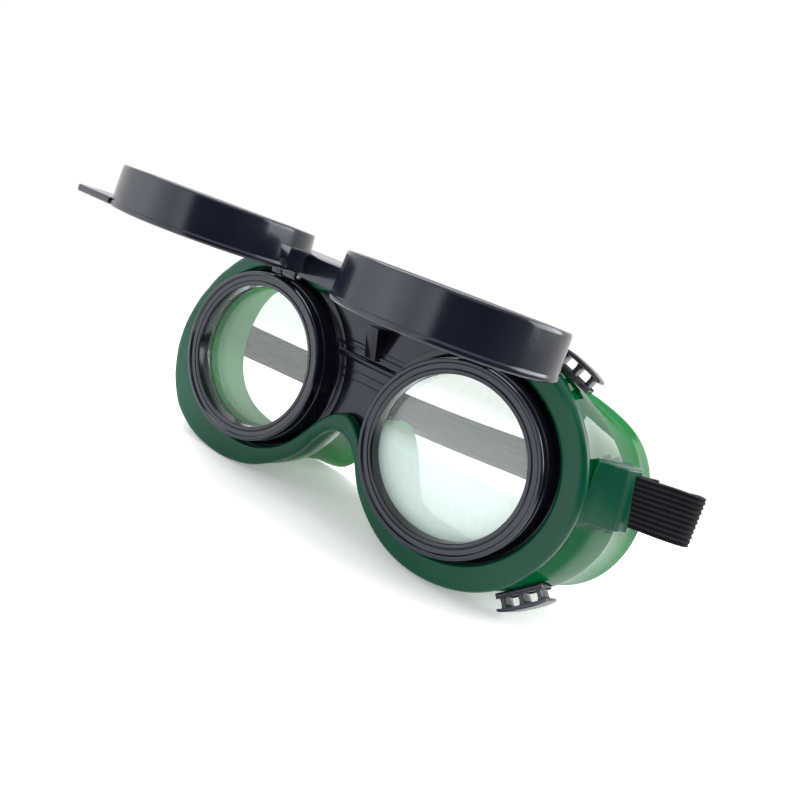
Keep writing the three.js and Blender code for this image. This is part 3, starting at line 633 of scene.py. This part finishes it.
for pl_ in me.polygons:
    cw = np.array(pl_.center) * 1000 - SH
    toward = np.array([math.copysign(38.5, cw[0]) - cw[0], -cw[2]])
    inward = (pl_.normal.x * toward[0] + pl_.normal.z * toward[1]) / (np.linalg.norm(toward) + 1e-6)
    # front rim faces get the darker copy, painted shade
    if cw[1] < 8.9 and pl_.normal.y < 0.2:
        pl_.material_index = 1
    # inner walls facing the eyes get the lighter copy, painted light
    elif cw[1] > 7.0 and inward > 0.15 and 34 < abs(cw[0]) < 90:
        pl_.material_index = 3
    # the lug panels get the darker rim copy too, painted shade
    elif abs(cw[0]) > 74.5 and -2 < cw[2] < 17 and 10 < cw[1] < 27.5 and pl_.normal.x * cw[0] > -0.2:
        pl_.material_index = 1
    # the rear skirt gets the lighter copy, painted backlight
    elif cw[1] > 23.2 and not (0 < cw[2] < 15 and abs(cw[0]) > 70 and cw[1] < 30):
        pl_.material_index = 2
piece(mask, "goggles", "body_pvc", "face_body")

# =============================================================== vent plugs
def make_vent(v):
    L, Vh = v[5] / 2, VENT_V / 2
    s = Shell()
    # base flange with an open middle
    for b in ((-L, -L + 3.2, -Vh, Vh), (L - 3.2, L, -Vh, Vh), (-L + 3.0, L - 3.0, -Vh, -Vh + 2.2), (-L + 3.0, L - 3.0, Vh - 2.2, Vh)):
        s.add(*box(b[0], b[1], b[2], b[3], -0.5, 0.75, 0.18))
    s.add(*box(-L - 0.1, L + 0.1, -Vh - 0.1, Vh + 0.1, 0.55, 1.05, 0.16) if False else box(-L, L, -Vh, -Vh + 1.0, 0.6, 1.15, 0.15))
    s.add(*box(-L, L, Vh - 1.0, Vh, 0.6, 1.15, 0.15))
    # posts, waisted
    for u in (-L + 1.6, 0.0, L - 1.6):
        poly = [(u - 0.95, 0.5), (u + 0.95, 0.5), (u + 0.62, 1.5), (u + 0.62, 3.1), (u + 0.95, 4.1), (u - 0.95, 4.1), (u - 0.62, 3.1), (u - 0.62, 1.5)]
        s.add(*prism(poly, "y", -Vh + 0.7, Vh - 0.7, 0.15))
    # crowned cap with a turned-down lip
    n = 14
    us = np.linspace(-L - 0.5, L + 0.5, n)
    top = [(u, 5.25 - 0.75 * (abs(u) / (L + 0.5)) ** 3) for u in us]
    bot = [(u, 4.0 - 0.35 * (abs(u) / (L + 0.5)) ** 4) for u in us[::-1]]
    s.add(*prism(top + bot, "y", -Vh - 0.4, Vh + 0.4, 0.25))
    s.V = vent_frame(v)(s.V)
    return s
for v in VENTS:
    s = make_vent(v)
    ob = to_obj(v[0] + "_left_plug", s, M_VENT); piece(ob, "goggles", "vent_plastic", v[0] + "_left")
    s2 = s.mirrored()
    # the plug follows the sagged wall as one stiff piece
    s2.V = s2.V + (np.array([-1.5, 1.5, -1.6]) if v[0] == "vent_lower" else np.zeros(3))
    s2.V[:, 2] = np.maximum(s2.V[:, 2], -39.2)
    ob = to_obj(v[0] + "_right_plug", s2, M_VENT); piece(ob, "goggles", "vent_plastic", v[0] + "_right")

# =============================================================== black front
def make_front():
    pl = lift_top(offset(F_, -3.2), 2.3)
    s = Shell()
    # bridge plate: outline with two round holes, made solid by booleans
    poly = [tuple(p) for p in pl[:: (2)]]
    V, F = prism(poly, "y", 10.0, 12.6, 0)
    ob = to_obj("black_front", Shell().add(V, F), M_FRAME, 35)
    holes = [temp(*prism([(sx * EYE + 31.4 * math.cos(t), 31.4 * math.sin(t)) for t in np.linspace(0, 2 * np.pi, 96, endpoint=False)], "y", 8, 15, 0)) for sx in (1, -1)]
    boolean(ob, holes, "DIFFERENCE")
    parts = Shell()
    for sx in (1, -1):
        parts.add(*lathe([
            (25.6, 2.8, 0.25), (28.3, 2.8, 0.5), (28.45, 5.6, 0.6), (28.9, 8.4, 0.6),
            (29.6, 9.35, 0.4), (32.0, 9.5, 0.15), (32.0, 9.95, 0.15), (29.4, 9.95, 0.1), (29.2, 9.2, 0.2), (25.6, 6.9, 0.1),
        ], sx * EYE, 0, 0, "y", 160))
    # ribs, bead, wedge
    def cup_x(z, r=28.9):
        return EYE - math.sqrt(max(r * r - z * z, 0)) + 0.6
    for z0, z1, y in ((15.6, 16.5, 9.15), (8.35, 9.2, 9.35), (5.8, 6.5, 9.4), (17.6, 18.0, 9.7)):
        xx = cup_x((z0 + z1) / 2)
        parts.add(*box(-xx, xx, y, 10.4, z0, z1, 0.22))
    xx = cup_x(13.1)
    parts.add(*prism(circle(10.0, 13.1, 1.25, 20), "x", -xx - 0.6, xx + 0.6, 0))
    parts.add(*prism([(-2.35, 24.6), (2.35, 24.6), (2.0, 15.2), (-2.0, 15.2)], "y", 9.5, 10.4, 0.15))
    wedge_pts = [(-1.5, 2.4, 25.2), (2.9, 2.4, 25.2), (2.6, 7.6, 15.0), (-1.6, 7.6, 15.0),
                 (-1.5, 10.3, 25.2), (3.1, 10.3, 25.2), (2.6, 10.3, 14.6), (-1.6, 10.3, 14.6)]
    wf = [(0, 1, 2, 3), (4, 7, 6, 5), (0, 4, 5, 1), (3, 2, 6, 7), (0, 3, 7, 4), (1, 5, 6, 2)]
    bm = bmesh.new(); vs = [bm.verts.new(p) for p in wedge_pts]
    for f in wf: bm.faces.new([vs[i] for i in f])
    bmesh.ops.recalc_face_normals(bm, faces=bm.faces)
    bmesh.ops.bevel(bm, geom=list(bm.edges), offset=0.3, segments=2, profile=0.6, affect="EDGES", clamp_overlap=True)
    bm.verts.index_update()
    parts.add([tuple(v.co) for v in bm.verts], [tuple(v.index for v in f.verts) for f in bm.faces]); bm.free()
    # hinge uprights, each with a block running back towards the plate
    for sx in (1, -1):
        a, b = (36, 40) if sx > 0 else (-40, -36)
        up = [(-1.1, 28.95), (3.2, 28.7), (3.2, 27.9), (5.0, 27.9), (5.0, 30.2), (3.6, 31.6), (2.0, 32.4), (0.3, 32.6), (-1.1, 32.0), (-1.7, 30.6)]
        parts.add(*prism(up, "x", a, b, 0.3))
        parts.add(*prism([(3.0, 27.8), (9.4, 27.8), (9.4, 29.4), (5.0, 30.0), (3.4, 29.6)], "x", a + 0.6, b - 0.6, 0.2))
    me = ob.data
    bm = bmesh.new(); bm.from_mesh(me)
    base = len(bm.verts)
    vs = [bm.verts.new(((np.array(p) + SH) / 1000).tolist()) for p in parts.V]
    for f in parts.F:
        bm.faces.new([vs[i] for i in f])
    bm.to_mesh(me); bm.free()
    me.polygons.foreach_set("use_smooth", [True] * len(me.polygons))
    me.set_sharp_from_angle(angle=math.radians(35))
    return ob
piece(make_front(), "goggles", "frame_plastic", "front_frame")

# =============================================================== eyepieces
for tag, sx in (("left", 1), ("right", -1)):
    s = Shell().add(*lathe([
        (23.5, 0.1, 0.35), (24.3, -0.25, 0.3), (24.75, -0.2, 0.12), (24.85, 0.1, 0.08), (25.0, 0.1, 0.08), (25.1, -0.2, 0.12),
        (26.45, -0.3, 0.3), (26.75, -0.9, 0.2), (27.0, -1.0, 0.15), (27.7, -1.0, 0.4), (28.1, -0.45, 0.35),
        (28.1, 2.4, 0.3), (25.2, 2.4, 0.1), (25.2, 4.05, 0.2), (23.5, 4.05, 0.2),
    ], sx * EYE, 0, 0, "y", 200))
    piece(to_obj(f"ring_{tag}_detail", s, M_RING, 35), f"ring_{tag}", "ring_plastic", f"lens_ring_{tag}")
    s = Shell().add(*disc([(0, 4.4), (24.7, 4.4, 0.1), (25.0, 4.7, 0.1), (25.0, 6.5, 0.1), (24.7, 6.8, 0.1), (0, 6.8)], sx * EYE, 0, 0, "y", 128))
    piece(to_obj(f"cover_lens_{tag}", s, M_CLEAR, 30), "goggles", "clear_lens", f"clear_lens_{tag}")
    s = Shell().add(*lathe([(24.3, 7.0, 0.15), (25.1, 7.0, 0.15), (25.25, 7.6, 0.15), (24.5, 7.6, 0.15)], sx * EYE, 0, 0, "y", 96))
    piece(to_obj(f"gasket_{tag}", s, M_RUBBER), "goggles", "gasket_rubber", f"lens_gasket_{tag}")

# =============================================================== lift front
CY = -29.9
def make_lift():
    web = Shell().add(*prism([(-18.6, 32.4), (-1.4, 32.4), (-1.4, 39.6), (-2.2, 40.0), (-18.0, 39.3), (-18.6, 38.8)], "x", -35.4, 35.4, 0.35, 3))
    ob = to_obj("lift_front_shell", web, M_FLIP, 35)
    cut = [temp(*prism([(-17.2, 30), (-3.0, 30), (-3.0, 38.3), (-17.2, 37.7)], "x", -34.0, 34.0, 0))]
    cut += [temp(*prism([(sx * EYE + 25.9 * math.cos(t), CY + 25.9 * math.sin(t)) for t in np.linspace(0, 2 * np.pi, 120, endpoint=False)], "z", 28, 48, 0)) for sx in (1, -1)]
    boolean(ob, cut, "DIFFERENCE")
    parts = Shell()
    for sx in (1, -1):
        parts.add(*lathe([
            (25.4, 33.4, 0.25), (26.9, 33.4, 0.3), (27.2, 33.7, 0.2), (27.2, 34.5, 0.3), (26.95, 34.9, 0.3), (26.45, 43.7, 0.5), (26.2, 44.4, 0.4),
            (24.9, 44.4, 0.25), (24.6, 44.1, 0.2), (23.9, 44.1, 0.2), (23.5, 43.7, 0.3), (23.5, 42.5, 0.2), (25.4, 42.5, 0.0),
        ], sx * EYE, CY, 0, "z", 200))
        # raised ledge where the web runs round the cup
        th = np.radians(np.linspace(-16, 50, 40)) if sx < 0 else np.radians(np.linspace(130, 196, 40))
        prof = [(26.0, 33.9), (27.35, 33.9), (27.55, 34.2), (27.45, 39.5), (27.2, 39.8), (26.0, 39.8)]
        V, F = [], []
        for k, t in enumerate(th):
            e = min(1.0, min(k, 39 - k) / 12.0)
            for r, h in prof:
                rr = 26.0 + (r - 26.0) * (e * e * (3 - 2 * e))
                V.append((sx * EYE + rr * math.cos(t), CY + rr * math.sin(t), h))
        m = len(prof)
        for k in range(39):
            for j in range(m):
                F.append((k * m + j, k * m + (j + 1) % m, (k + 1) * m + (j + 1) % m, (k + 1) * m + j))
        F.append(tuple(range(m))[::-1]); F.append(tuple(39 * m + j for j in range(m)))
        parts.add(V, F)
        arm = [(-1.66, 31.6), (-1.66, 29.9), (-0.9, 28.95), (0.3, 28.6), (1.5, 29.0), (2.2, 30.0), (2.2, 31.2), (1.2, 32.6), (-1.0, 34.2), (-2.4, 34.2), (-2.4, 32.4)]
        if frame_has("hinge_knuckle_left"):
            x0, x1 = (30.2, 35.4) if sx > 0 else (-35.4, -30.2)
            kn = to_obj("knuckle_left" if sx > 0 else "knuckle_right", Shell().add(*prism(arm, "x", x0, x1, 0.3)), M_FLIP, 35)
            piece(kn, "lift_front", "frame_plastic", "hinge_knuckle_left" if sx > 0 else "hinge_knuckle_right")
    # finger tab
    tab = [(-54, -52.8), (-62, -52.5), (-68.4, -52.2), (-70.3, -51.2), (-71.2, -49.2), (-71.4, -42.2), (-70.4, -40.0), (-68.4, -38.9), (-62.0, -38.0), (-58, -37.4), (-54, -37.6)]
    parts.add(*prism(tab, "z", 33.4, 35.3, 0.7, 4))
    bm = bmesh.new(); bm.from_mesh(ob.data)
    vs = [bm.verts.new(((np.array(p) + SH) / 1000).tolist()) for p in parts.V]
    for f in parts.F:
        bm.faces.new([vs[i] for i in f])
    bm.to_mesh(ob.data); bm.free()
    me = ob.data
    me.polygons.foreach_set("use_smooth", [True] * len(me.polygons))
    me.set_sharp_from_angle(angle=math.radians(35))
    return ob
piece(make_lift(), "lift_front", "frame_plastic", "flip_frame")

for tag, sx in (("left", 1), ("right", -1)):
    s = Shell().add(*disc([(0, 39.2), (24.8, 39.2, 0.1), (25.0, 39.4, 0.1), (25.0, 41.9, 0.1), (24.8, 42.1, 0.1), (0, 42.1)], sx * EYE, CY, 0, "z", 128))
    piece(to_obj(f"shade_lens_{tag}_glass", s, M_SHADE, 30), "lift_front", "shade_glass", f"shade_lens_{tag}")
    s = Shell().add(*lathe([
        (22.9, 34.6, 0.2), (23.3, 34.3, 0.2), (24.6, 34.3, 0.2), (25.05, 34.8, 0.1), (25.05, 38.85, 0.2), (23.7, 38.85, 0.2), (23.1, 37.2, 0.4), (22.9, 36.0, 0.3),
    ], sx * EYE, CY, 0, "z", 160))
    # four coin notches are cut round the ring's face
    ob = to_obj(f"lift_ring_{tag}", s, M_RING, 35)
    cut = []
    for k in range(4):
        a = math.radians(-20) + k * math.pi / 2
        c = np.array([sx * EYE + 24 * math.cos(a), CY + 24 * math.sin(a)])
        u = np.array([math.cos(a), math.sin(a)]); w = np.array([-u[1], u[0]])
        q = [tuple(c + u * i + w * j) for i, j in ((-3, -1.5), (0.5, -1.5), (0.5, 1.5), (-3, 1.5))]
        cut.append(temp(*prism(q, "z", 33.5, 35.2, 0)))
    boolean(ob, cut, "DIFFERENCE")
    ob.data.polygons.foreach_set("use_smooth", [True] * len(ob.data.polygons))
    ob.data.set_sharp_from_angle(angle=math.radians(35))
    piece(ob, "lift_front", "ring_plastic", f"flip_ring_{tag}")
    # hinge pin
    x0 = sx * 35.1
    s = Shell().add(*lathe([(0.02, -5.6), (0.9, -5.6, 0.2), (0.9, 5.2, 0.1), (0.9, 5.6, 0.2), (0.02, 5.6)], x0, 0.3, 30.6, "x", 28))
    piece(to_obj(f"pin_{tag}", s, M_PIN, 40), "goggles", "pin_steel", f"hinge_pin_{tag}")

# =============================================================== headband
BAND = [
  [77.9, 15.2, 7.5], [80.2, 18.8, 7.5], [82.8, 21.5, 7.5], [86.8, 23.6, 7.6], [92, 25.9, 7.8], [96.6, 28.1, 8.0],
  [100.1, 29.9, 8.1], [101.4, 32.4, 8.0], [99.8, 36.6, 7.5], [96.6, 43, 5.8], [92.5, 51, 3.4], [84, 58.5, 0.8],
  [66, 65, -2.6], [42, 70, -5.6], [14, 73.5, -9], [-14, 74, -11], [-42, 72, -12], [-64, 68, -12], [-80, 61.5, -11],
  [-89, 53.5, -9.4], [-93.6, 44, -6], [-93.4, 35, -0.5], [-90.4, 28, 4.6], [-86.9, 23.8, 7.2], [-82.8, 21.5, 7.5], [-80.2, 18.8, 7.5], [-77.9, 15.2, 7.5]]
TAIL_L = [[76.4, 16.2, 7.5], [78.8, 20.0, 7.5], [81.8, 22.9, 7.5], [85.6, 25.0, 7.7], [88.7, 26.4, 8.2]]
TAIL_R = [[-76.4, 16.2, 7.5], [-78.8, 20.0, 7.5], [-81.8, 22.95, 7.5], [-85.4, 25.4, 7.3], [-88.3, 29.1, 5.4]]

def centripetal(P, step):
    P = np.array(P, float)
    P = np.vstack([2 * P[0] - P[1], P, 2 * P[-1] - P[-2]])
    out = []
    for i in range(1, len(P) - 2):
        p0, p1, p2, p3 = P[i - 1], P[i], P[i + 1], P[i + 2]
        t0 = 0; t1 = t0 + np.linalg.norm(p1 - p0) ** 0.5; t2 = t1 + np.linalg.norm(p2 - p1) ** 0.5; t3 = t2 + np.linalg.norm(p3 - p2) ** 0.5
        for t in np.linspace(t1, t2, 40, endpoint=False):
            A1 = (t1 - t) / (t1 - t0) * p0 + (t - t0) / (t1 - t0) * p1
            A2 = (t2 - t) / (t2 - t1) * p1 + (t - t1) / (t2 - t1) * p2
            A3 = (t3 - t) / (t3 - t2) * p2 + (t - t2) / (t3 - t2) * p3
            B1 = (t2 - t) / (t2 - t0) * A1 + (t - t0) / (t2 - t0) * A2
            B2 = (t3 - t) / (t3 - t1) * A2 + (t - t1) / (t3 - t1) * A3
            out.append((t2 - t) / (t2 - t1) * B1 + (t - t1) / (t2 - t1) * B2)
    out.append(P[-2]); out = np.array(out)
    s = np.concatenate([[0], np.cumsum(np.linalg.norm(np.diff(out, axis=0), axis=1))])
    n = max(4, int(round(s[-1] / step)))
    q = np.linspace(0, s[-1], n + 1)
    return np.column_stack([np.interp(q, s, out[:, k]) for k in range(3)]), q

def webbing(name, pts, width, thickness, ribs, step, lean=None, fray0=False, fray1=False):
    C, s = centripetal(pts, step)
    t = np.gradient(C[:, :2], axis=0); t /= np.linalg.norm(t, axis=1)[:, None]
    nrm = np.column_stack([t[:, 1], -t[:, 0], np.zeros(len(t))])
    # section: ribbed on both faces, rounded selvedges
    k = ribs * 6
    a = np.linspace(-1, 1, k + 1)
    rib = 0.5 + 0.5 * np.cos(a * ribs * np.pi)
    edge = np.clip((1 - np.abs(a)) / 0.035, 0, 1) ** 0.5
    hh = (thickness / 2 - 0.30 + 0.30 * rib) * (0.35 + 0.65 * edge)
    sec = [(h, w * width / 2) for h, w in zip(hh, a)] + [(-h, w * width / 2) for h, w in zip(hh[::-1], a[::-1])]
    sec = np.array(sec); m = len(sec)
    V = np.zeros((len(C), m, 3))
    for i in range(len(C)):
        wob = 0.05 * math.sin(s[i] * 0.9) + 0.04 * math.sin(s[i] * 2.3 + 1.0)
        L = lean(s[i] / s[-1]) if lean else (0, 0)
        V[i] = C[i] + nrm[i] * sec[:, :1] + np.outer(sec[:, 1] + 0 * wob, (L[0], L[1], 1.0)) + nrm[i] * wob * 0.6
    # fray: the cut end is uneven thread by thread
    for flag, i, sg in ((fray0, 0, -1), (fray1, len(C) - 1, 1)):
        if flag:
            j = rng.uniform(-0.25, 0.45, m)
            d = np.append(t[i], 0) * sg
            V[i] += np.outer(j, d)
    F = []
    for i in range(len(C) - 1):
        for j in range(m):
            j2 = (j + 1) % m
            F.append((i * m + j, i * m + j2, (i + 1) * m + j2, (i + 1) * m + j))
    F.append(tuple(range(m))[::-1]); F.append(tuple((len(C) - 1) * m + j for j in range(m)))
    sh = Shell().add(V.reshape(-1, 3), F)
    ob = to_obj(name, sh, M_WEB, 60)
    uvl = ob.data.uv_layers.new(name="UVMap")
    uu = np.repeat(s, m); vv = np.tile(sec[:, 1], len(C))
    for lp in ob.data.loops:
        uvl.data[lp.index].uv = (uu[lp.vertex_index], vv[lp.vertex_index])
    return ob

def lean_main(u):
    # the fold beside the left wall is drawn back at its top
    g = math.exp(-((u - 0.073) / 0.028) ** 2)
    return (-0.22 * g, 0.08 * g)
step = 0.8
hb = webbing("headband_webbing", BAND, 14.4, 1.3, 10, step, lean_main)
piece(hb, "goggles", "webbing", "headband")
tl = webbing("headband_end_left", TAIL_L, 14.4, 1.25, 10, 0.6, None, False, True)
piece(tl, "goggles", "webbing", "headband_tail_left")
tr_ = webbing("headband_end_right", TAIL_R, 14.4, 1.25, 10, 0.6, None, False, True)
piece(tr_, "goggles", "webbing", "headband_tail_right")

# =============================================================== floor, light, camera
def surround(nt, vec, top):
    """brightness of the tent round the object by compass direction: grey panel front left, black flag front right, white behind"""
    L = nt.links.new
    nv = N(nt, "ShaderNodeVectorMath"); nv.operation = "NORMALIZE"
    L(vec, nv.inputs[0])
    d1 = N(nt, "ShaderNodeVectorMath"); d1.operation = "DOT_PRODUCT"; d1.inputs[1].default_value = (0.97, 0.243, 0)
    d2 = N(nt, "ShaderNodeVectorMath"); d2.operation = "DOT_PRODUCT"; d2.inputs[1].default_value = (0.243, -0.97, 0)
    L(nv.outputs["Vector"], d1.inputs[0]); L(nv.outputs["Vector"], d2.inputs[0])
    at = N(nt, "ShaderNodeMath"); at.operation = "ARCTAN2"
    L(d1.outputs["Value"], at.inputs[0]); L(d2.outputs["Value"], at.inputs[1])
    mr = N(nt, "ShaderNodeMapRange")
    mr.inputs["From Min"].default_value = -math.pi; mr.inputs["From Max"].default_value = math.pi
    L(at.outputs["Value"], mr.inputs["Value"])
    g = lambda v: (v, v, v)
    f = lambda deg: (deg + 180) / 360
    c = ramp(nt, mr.outputs["Result"], [(f(-180), g(1.0)), (f(-120), g(1.0)), (f(-85), g(1.5)), (f(-50), g(2.8)), (f(-22), g(1.5)), (f(-5), g(2.3)), (f(2), g(0.05)), (f(46), g(0.04)), (f(62), g(0.16)), (f(84), g(0.34)), (f(112), g(0.7)), (f(140), g(0.95)), (f(180), g(1.0))])
    if not top:
        return c.outputs["Color"]
    sp = N(nt, "ShaderNodeSeparateXYZ"); L(nv.outputs["Vector"], sp.inputs["Vector"])
    up = N(nt, "ShaderNodeMapRange"); up.interpolation_type = "SMOOTHSTEP"
    up.inputs["From Min"].default_value = 0.30; up.inputs["From Max"].default_value = 0.62
    L(sp.outputs["Z"], up.inputs["Value"])
    mx_ = N(nt, "ShaderNodeMix"); mx_.data_type = "RGBA"
    L(up.outputs["Result"], mx_.inputs[0]); L(c.outputs["Color"], mx_.inputs[6])
    mx_.inputs[7].default_value = (1.3, 1.3, 1.32, 1)
    return mx_.outputs[2]

def floor_mat():
    m, nt, out = new_mat("pale_floor")
    L = nt.links.new
    co = N(nt, "ShaderNodeTexCoord")
    n = N(nt, "ShaderNodeTexNoise", Scale=3.0, Detail=4.0, Roughness=0.5)
    L(co.outputs["Object"], n.inputs["Vector"])
    c = ramp(nt, n.outputs["Fac"], [(0.3, (0.90, 0.905, 0.915)), (0.7, (0.93, 0.932, 0.94))])
    df = nt.nodes.new("ShaderNodeBsdfPrincipled")
    df.inputs["Roughness"].default_value = 0.6
    df.inputs["Specular IOR Level"].default_value = 0.2
    df.inputs["Emission Color"].default_value = (1, 1, 1, 1)
    df.inputs["Emission Strength"].default_value = 0.30
    L(c.outputs["Color"], df.inputs["Base Color"])
    white = N(nt, "ShaderNodeEmission", Strength=1.0)
    white.inputs["Color"].default_value = (1, 1, 1, 1)
    seen = nt.nodes.new("ShaderNodeEmission")
    L(surround(nt, co.outputs["Object"], False), seen.inputs["Color"])
    lp = N(nt, "ShaderNodeLightPath")
    em = nt.nodes.new("ShaderNodeMixShader")
    L(lp.outputs["Is Camera Ray"], em.inputs["Fac"])
    L(seen.outputs["Emission"], em.inputs[1]); L(white.outputs["Emission"], em.inputs[2])
    # far from the object the floor turns into the white of the backdrop
    ln = N(nt, "ShaderNodeVectorMath"); ln.operation = "LENGTH"
    L(co.outputs["Object"], ln.inputs[0])
    f = N(nt, "ShaderNodeMapRange")
    f.interpolation_type = "SMOOTHERSTEP"
    f.inputs["From Min"].default_value = 0.10; f.inputs["From Max"].default_value = 0.40
    L(ln.outputs["Value"], f.inputs["Value"])
    mix = nt.nodes.new("ShaderNodeMixShader")
    L(f.outputs["Result"], mix.inputs["Fac"])
    L(df.outputs["BSDF"], mix.inputs[1]); L(em.outputs["Shader"], mix.inputs[2])
    L(mix.outputs["Shader"], out.inputs["Surface"])
    return m
fm = bpy.data.meshes.new("floor")
nn = 48
bmf = bmesh.new()
bmesh.ops.create_grid(bmf, x_segments=nn, y_segments=nn, size=6.0)
bmf.to_mesh(fm); bmf.free()
floor = bpy.data.objects.new("floor", fm)
floor.location = (0, 0, -0.00005)
fm.materials.append(floor_mat())
scene.collection.objects.link(floor)

world = bpy.data.worlds.new("studio")
scene.world = world
world.use_nodes = True
wt = world.node_tree
for n in list(wt.nodes):
    wt.nodes.remove(n)
wo = wt.nodes.new("ShaderNodeOutputWorld")
tc = wt.nodes.new("ShaderNodeTexCoord")
b_seen = N(wt, "ShaderNodeBackground", Strength=1.0)
wt.links.new(surround(wt, tc.outputs["Generated"], True), b_seen.inputs["Color"])
b_white = N(wt, "ShaderNodeBackground", Strength=1.0)
b_white.inputs["Color"].default_value = (1, 1, 1, 1)
lpw = N(wt, "ShaderNodeLightPath")
mw_ = wt.nodes.new("ShaderNodeMixShader")
wt.links.new(lpw.outputs["Is Camera Ray"], mw_.inputs["Fac"])
wt.links.new(b_seen.outputs["Background"], mw_.inputs[1]); wt.links.new(b_white.outputs["Background"], mw_.inputs[2])
wt.links.new(mw_.outputs["Shader"], wo.inputs["Surface"])

def area(name, loc, target, size, size_y, power, color=(1, 1, 1)):
    ld = bpy.data.lights.new(name, "AREA")
    ld.shape = "RECTANGLE"; ld.size = size; ld.size_y = size_y; ld.energy = power; ld.color = color
    ob = bpy.data.objects.new(name, ld)
    ob.location = loc
    d = Vector(target) - Vector(loc)
    ob.rotation_euler = d.to_track_quat("-Z", "Y").to_euler()
    ob.visible_camera = False
    scene.collection.objects.link(ob)
    return ob
area("key_top", (-0.20, 0.0, 0.80), (0, 0, 0.03), 0.9, 0.9, 9.5)
area("side_right", (0.48, 0.27, 0.28), (0.04, 0.0, 0.045), 0.46, 0.30, 2.4)

cam_d = bpy.data.cameras.new("cam")
cam = bpy.data.objects.new("cam", cam_d)
scene.collection.objects.link(cam)
Cw = (np.array([98.43, -159.37, 45.38]) + SH) / 1000
Fw = Vector((-0.44582, 0.87761, -0.17622)).normalized()
Rw = Vector((0.80597, 0.47921, 0.34751)).normalized()
Uw = Rw.cross(Fw).normalized()
Rw = Fw.cross(Uw).normalized()
mw = Matrix.Identity(4)
for i in range(3):
    mw[i][0] = Rw[i]; mw[i][1] = Uw[i]; mw[i][2] = -Fw[i]; mw[i][3] = Cw[i]
cam.matrix_world = mw
cam_d.sensor_fit = "HORIZONTAL"
cam_d.sensor_width = 36
cam_d.lens = 630.0 / 800 * 36
cam_d.shift_x = 0.0
cam_d.shift_y = -15.5 / 800
cam_d.clip_start = 0.005; cam_d.clip_end = 50
scene.camera = cam
scene.view_settings.view_transform = "Standard"
scene.view_settings.look = "None"
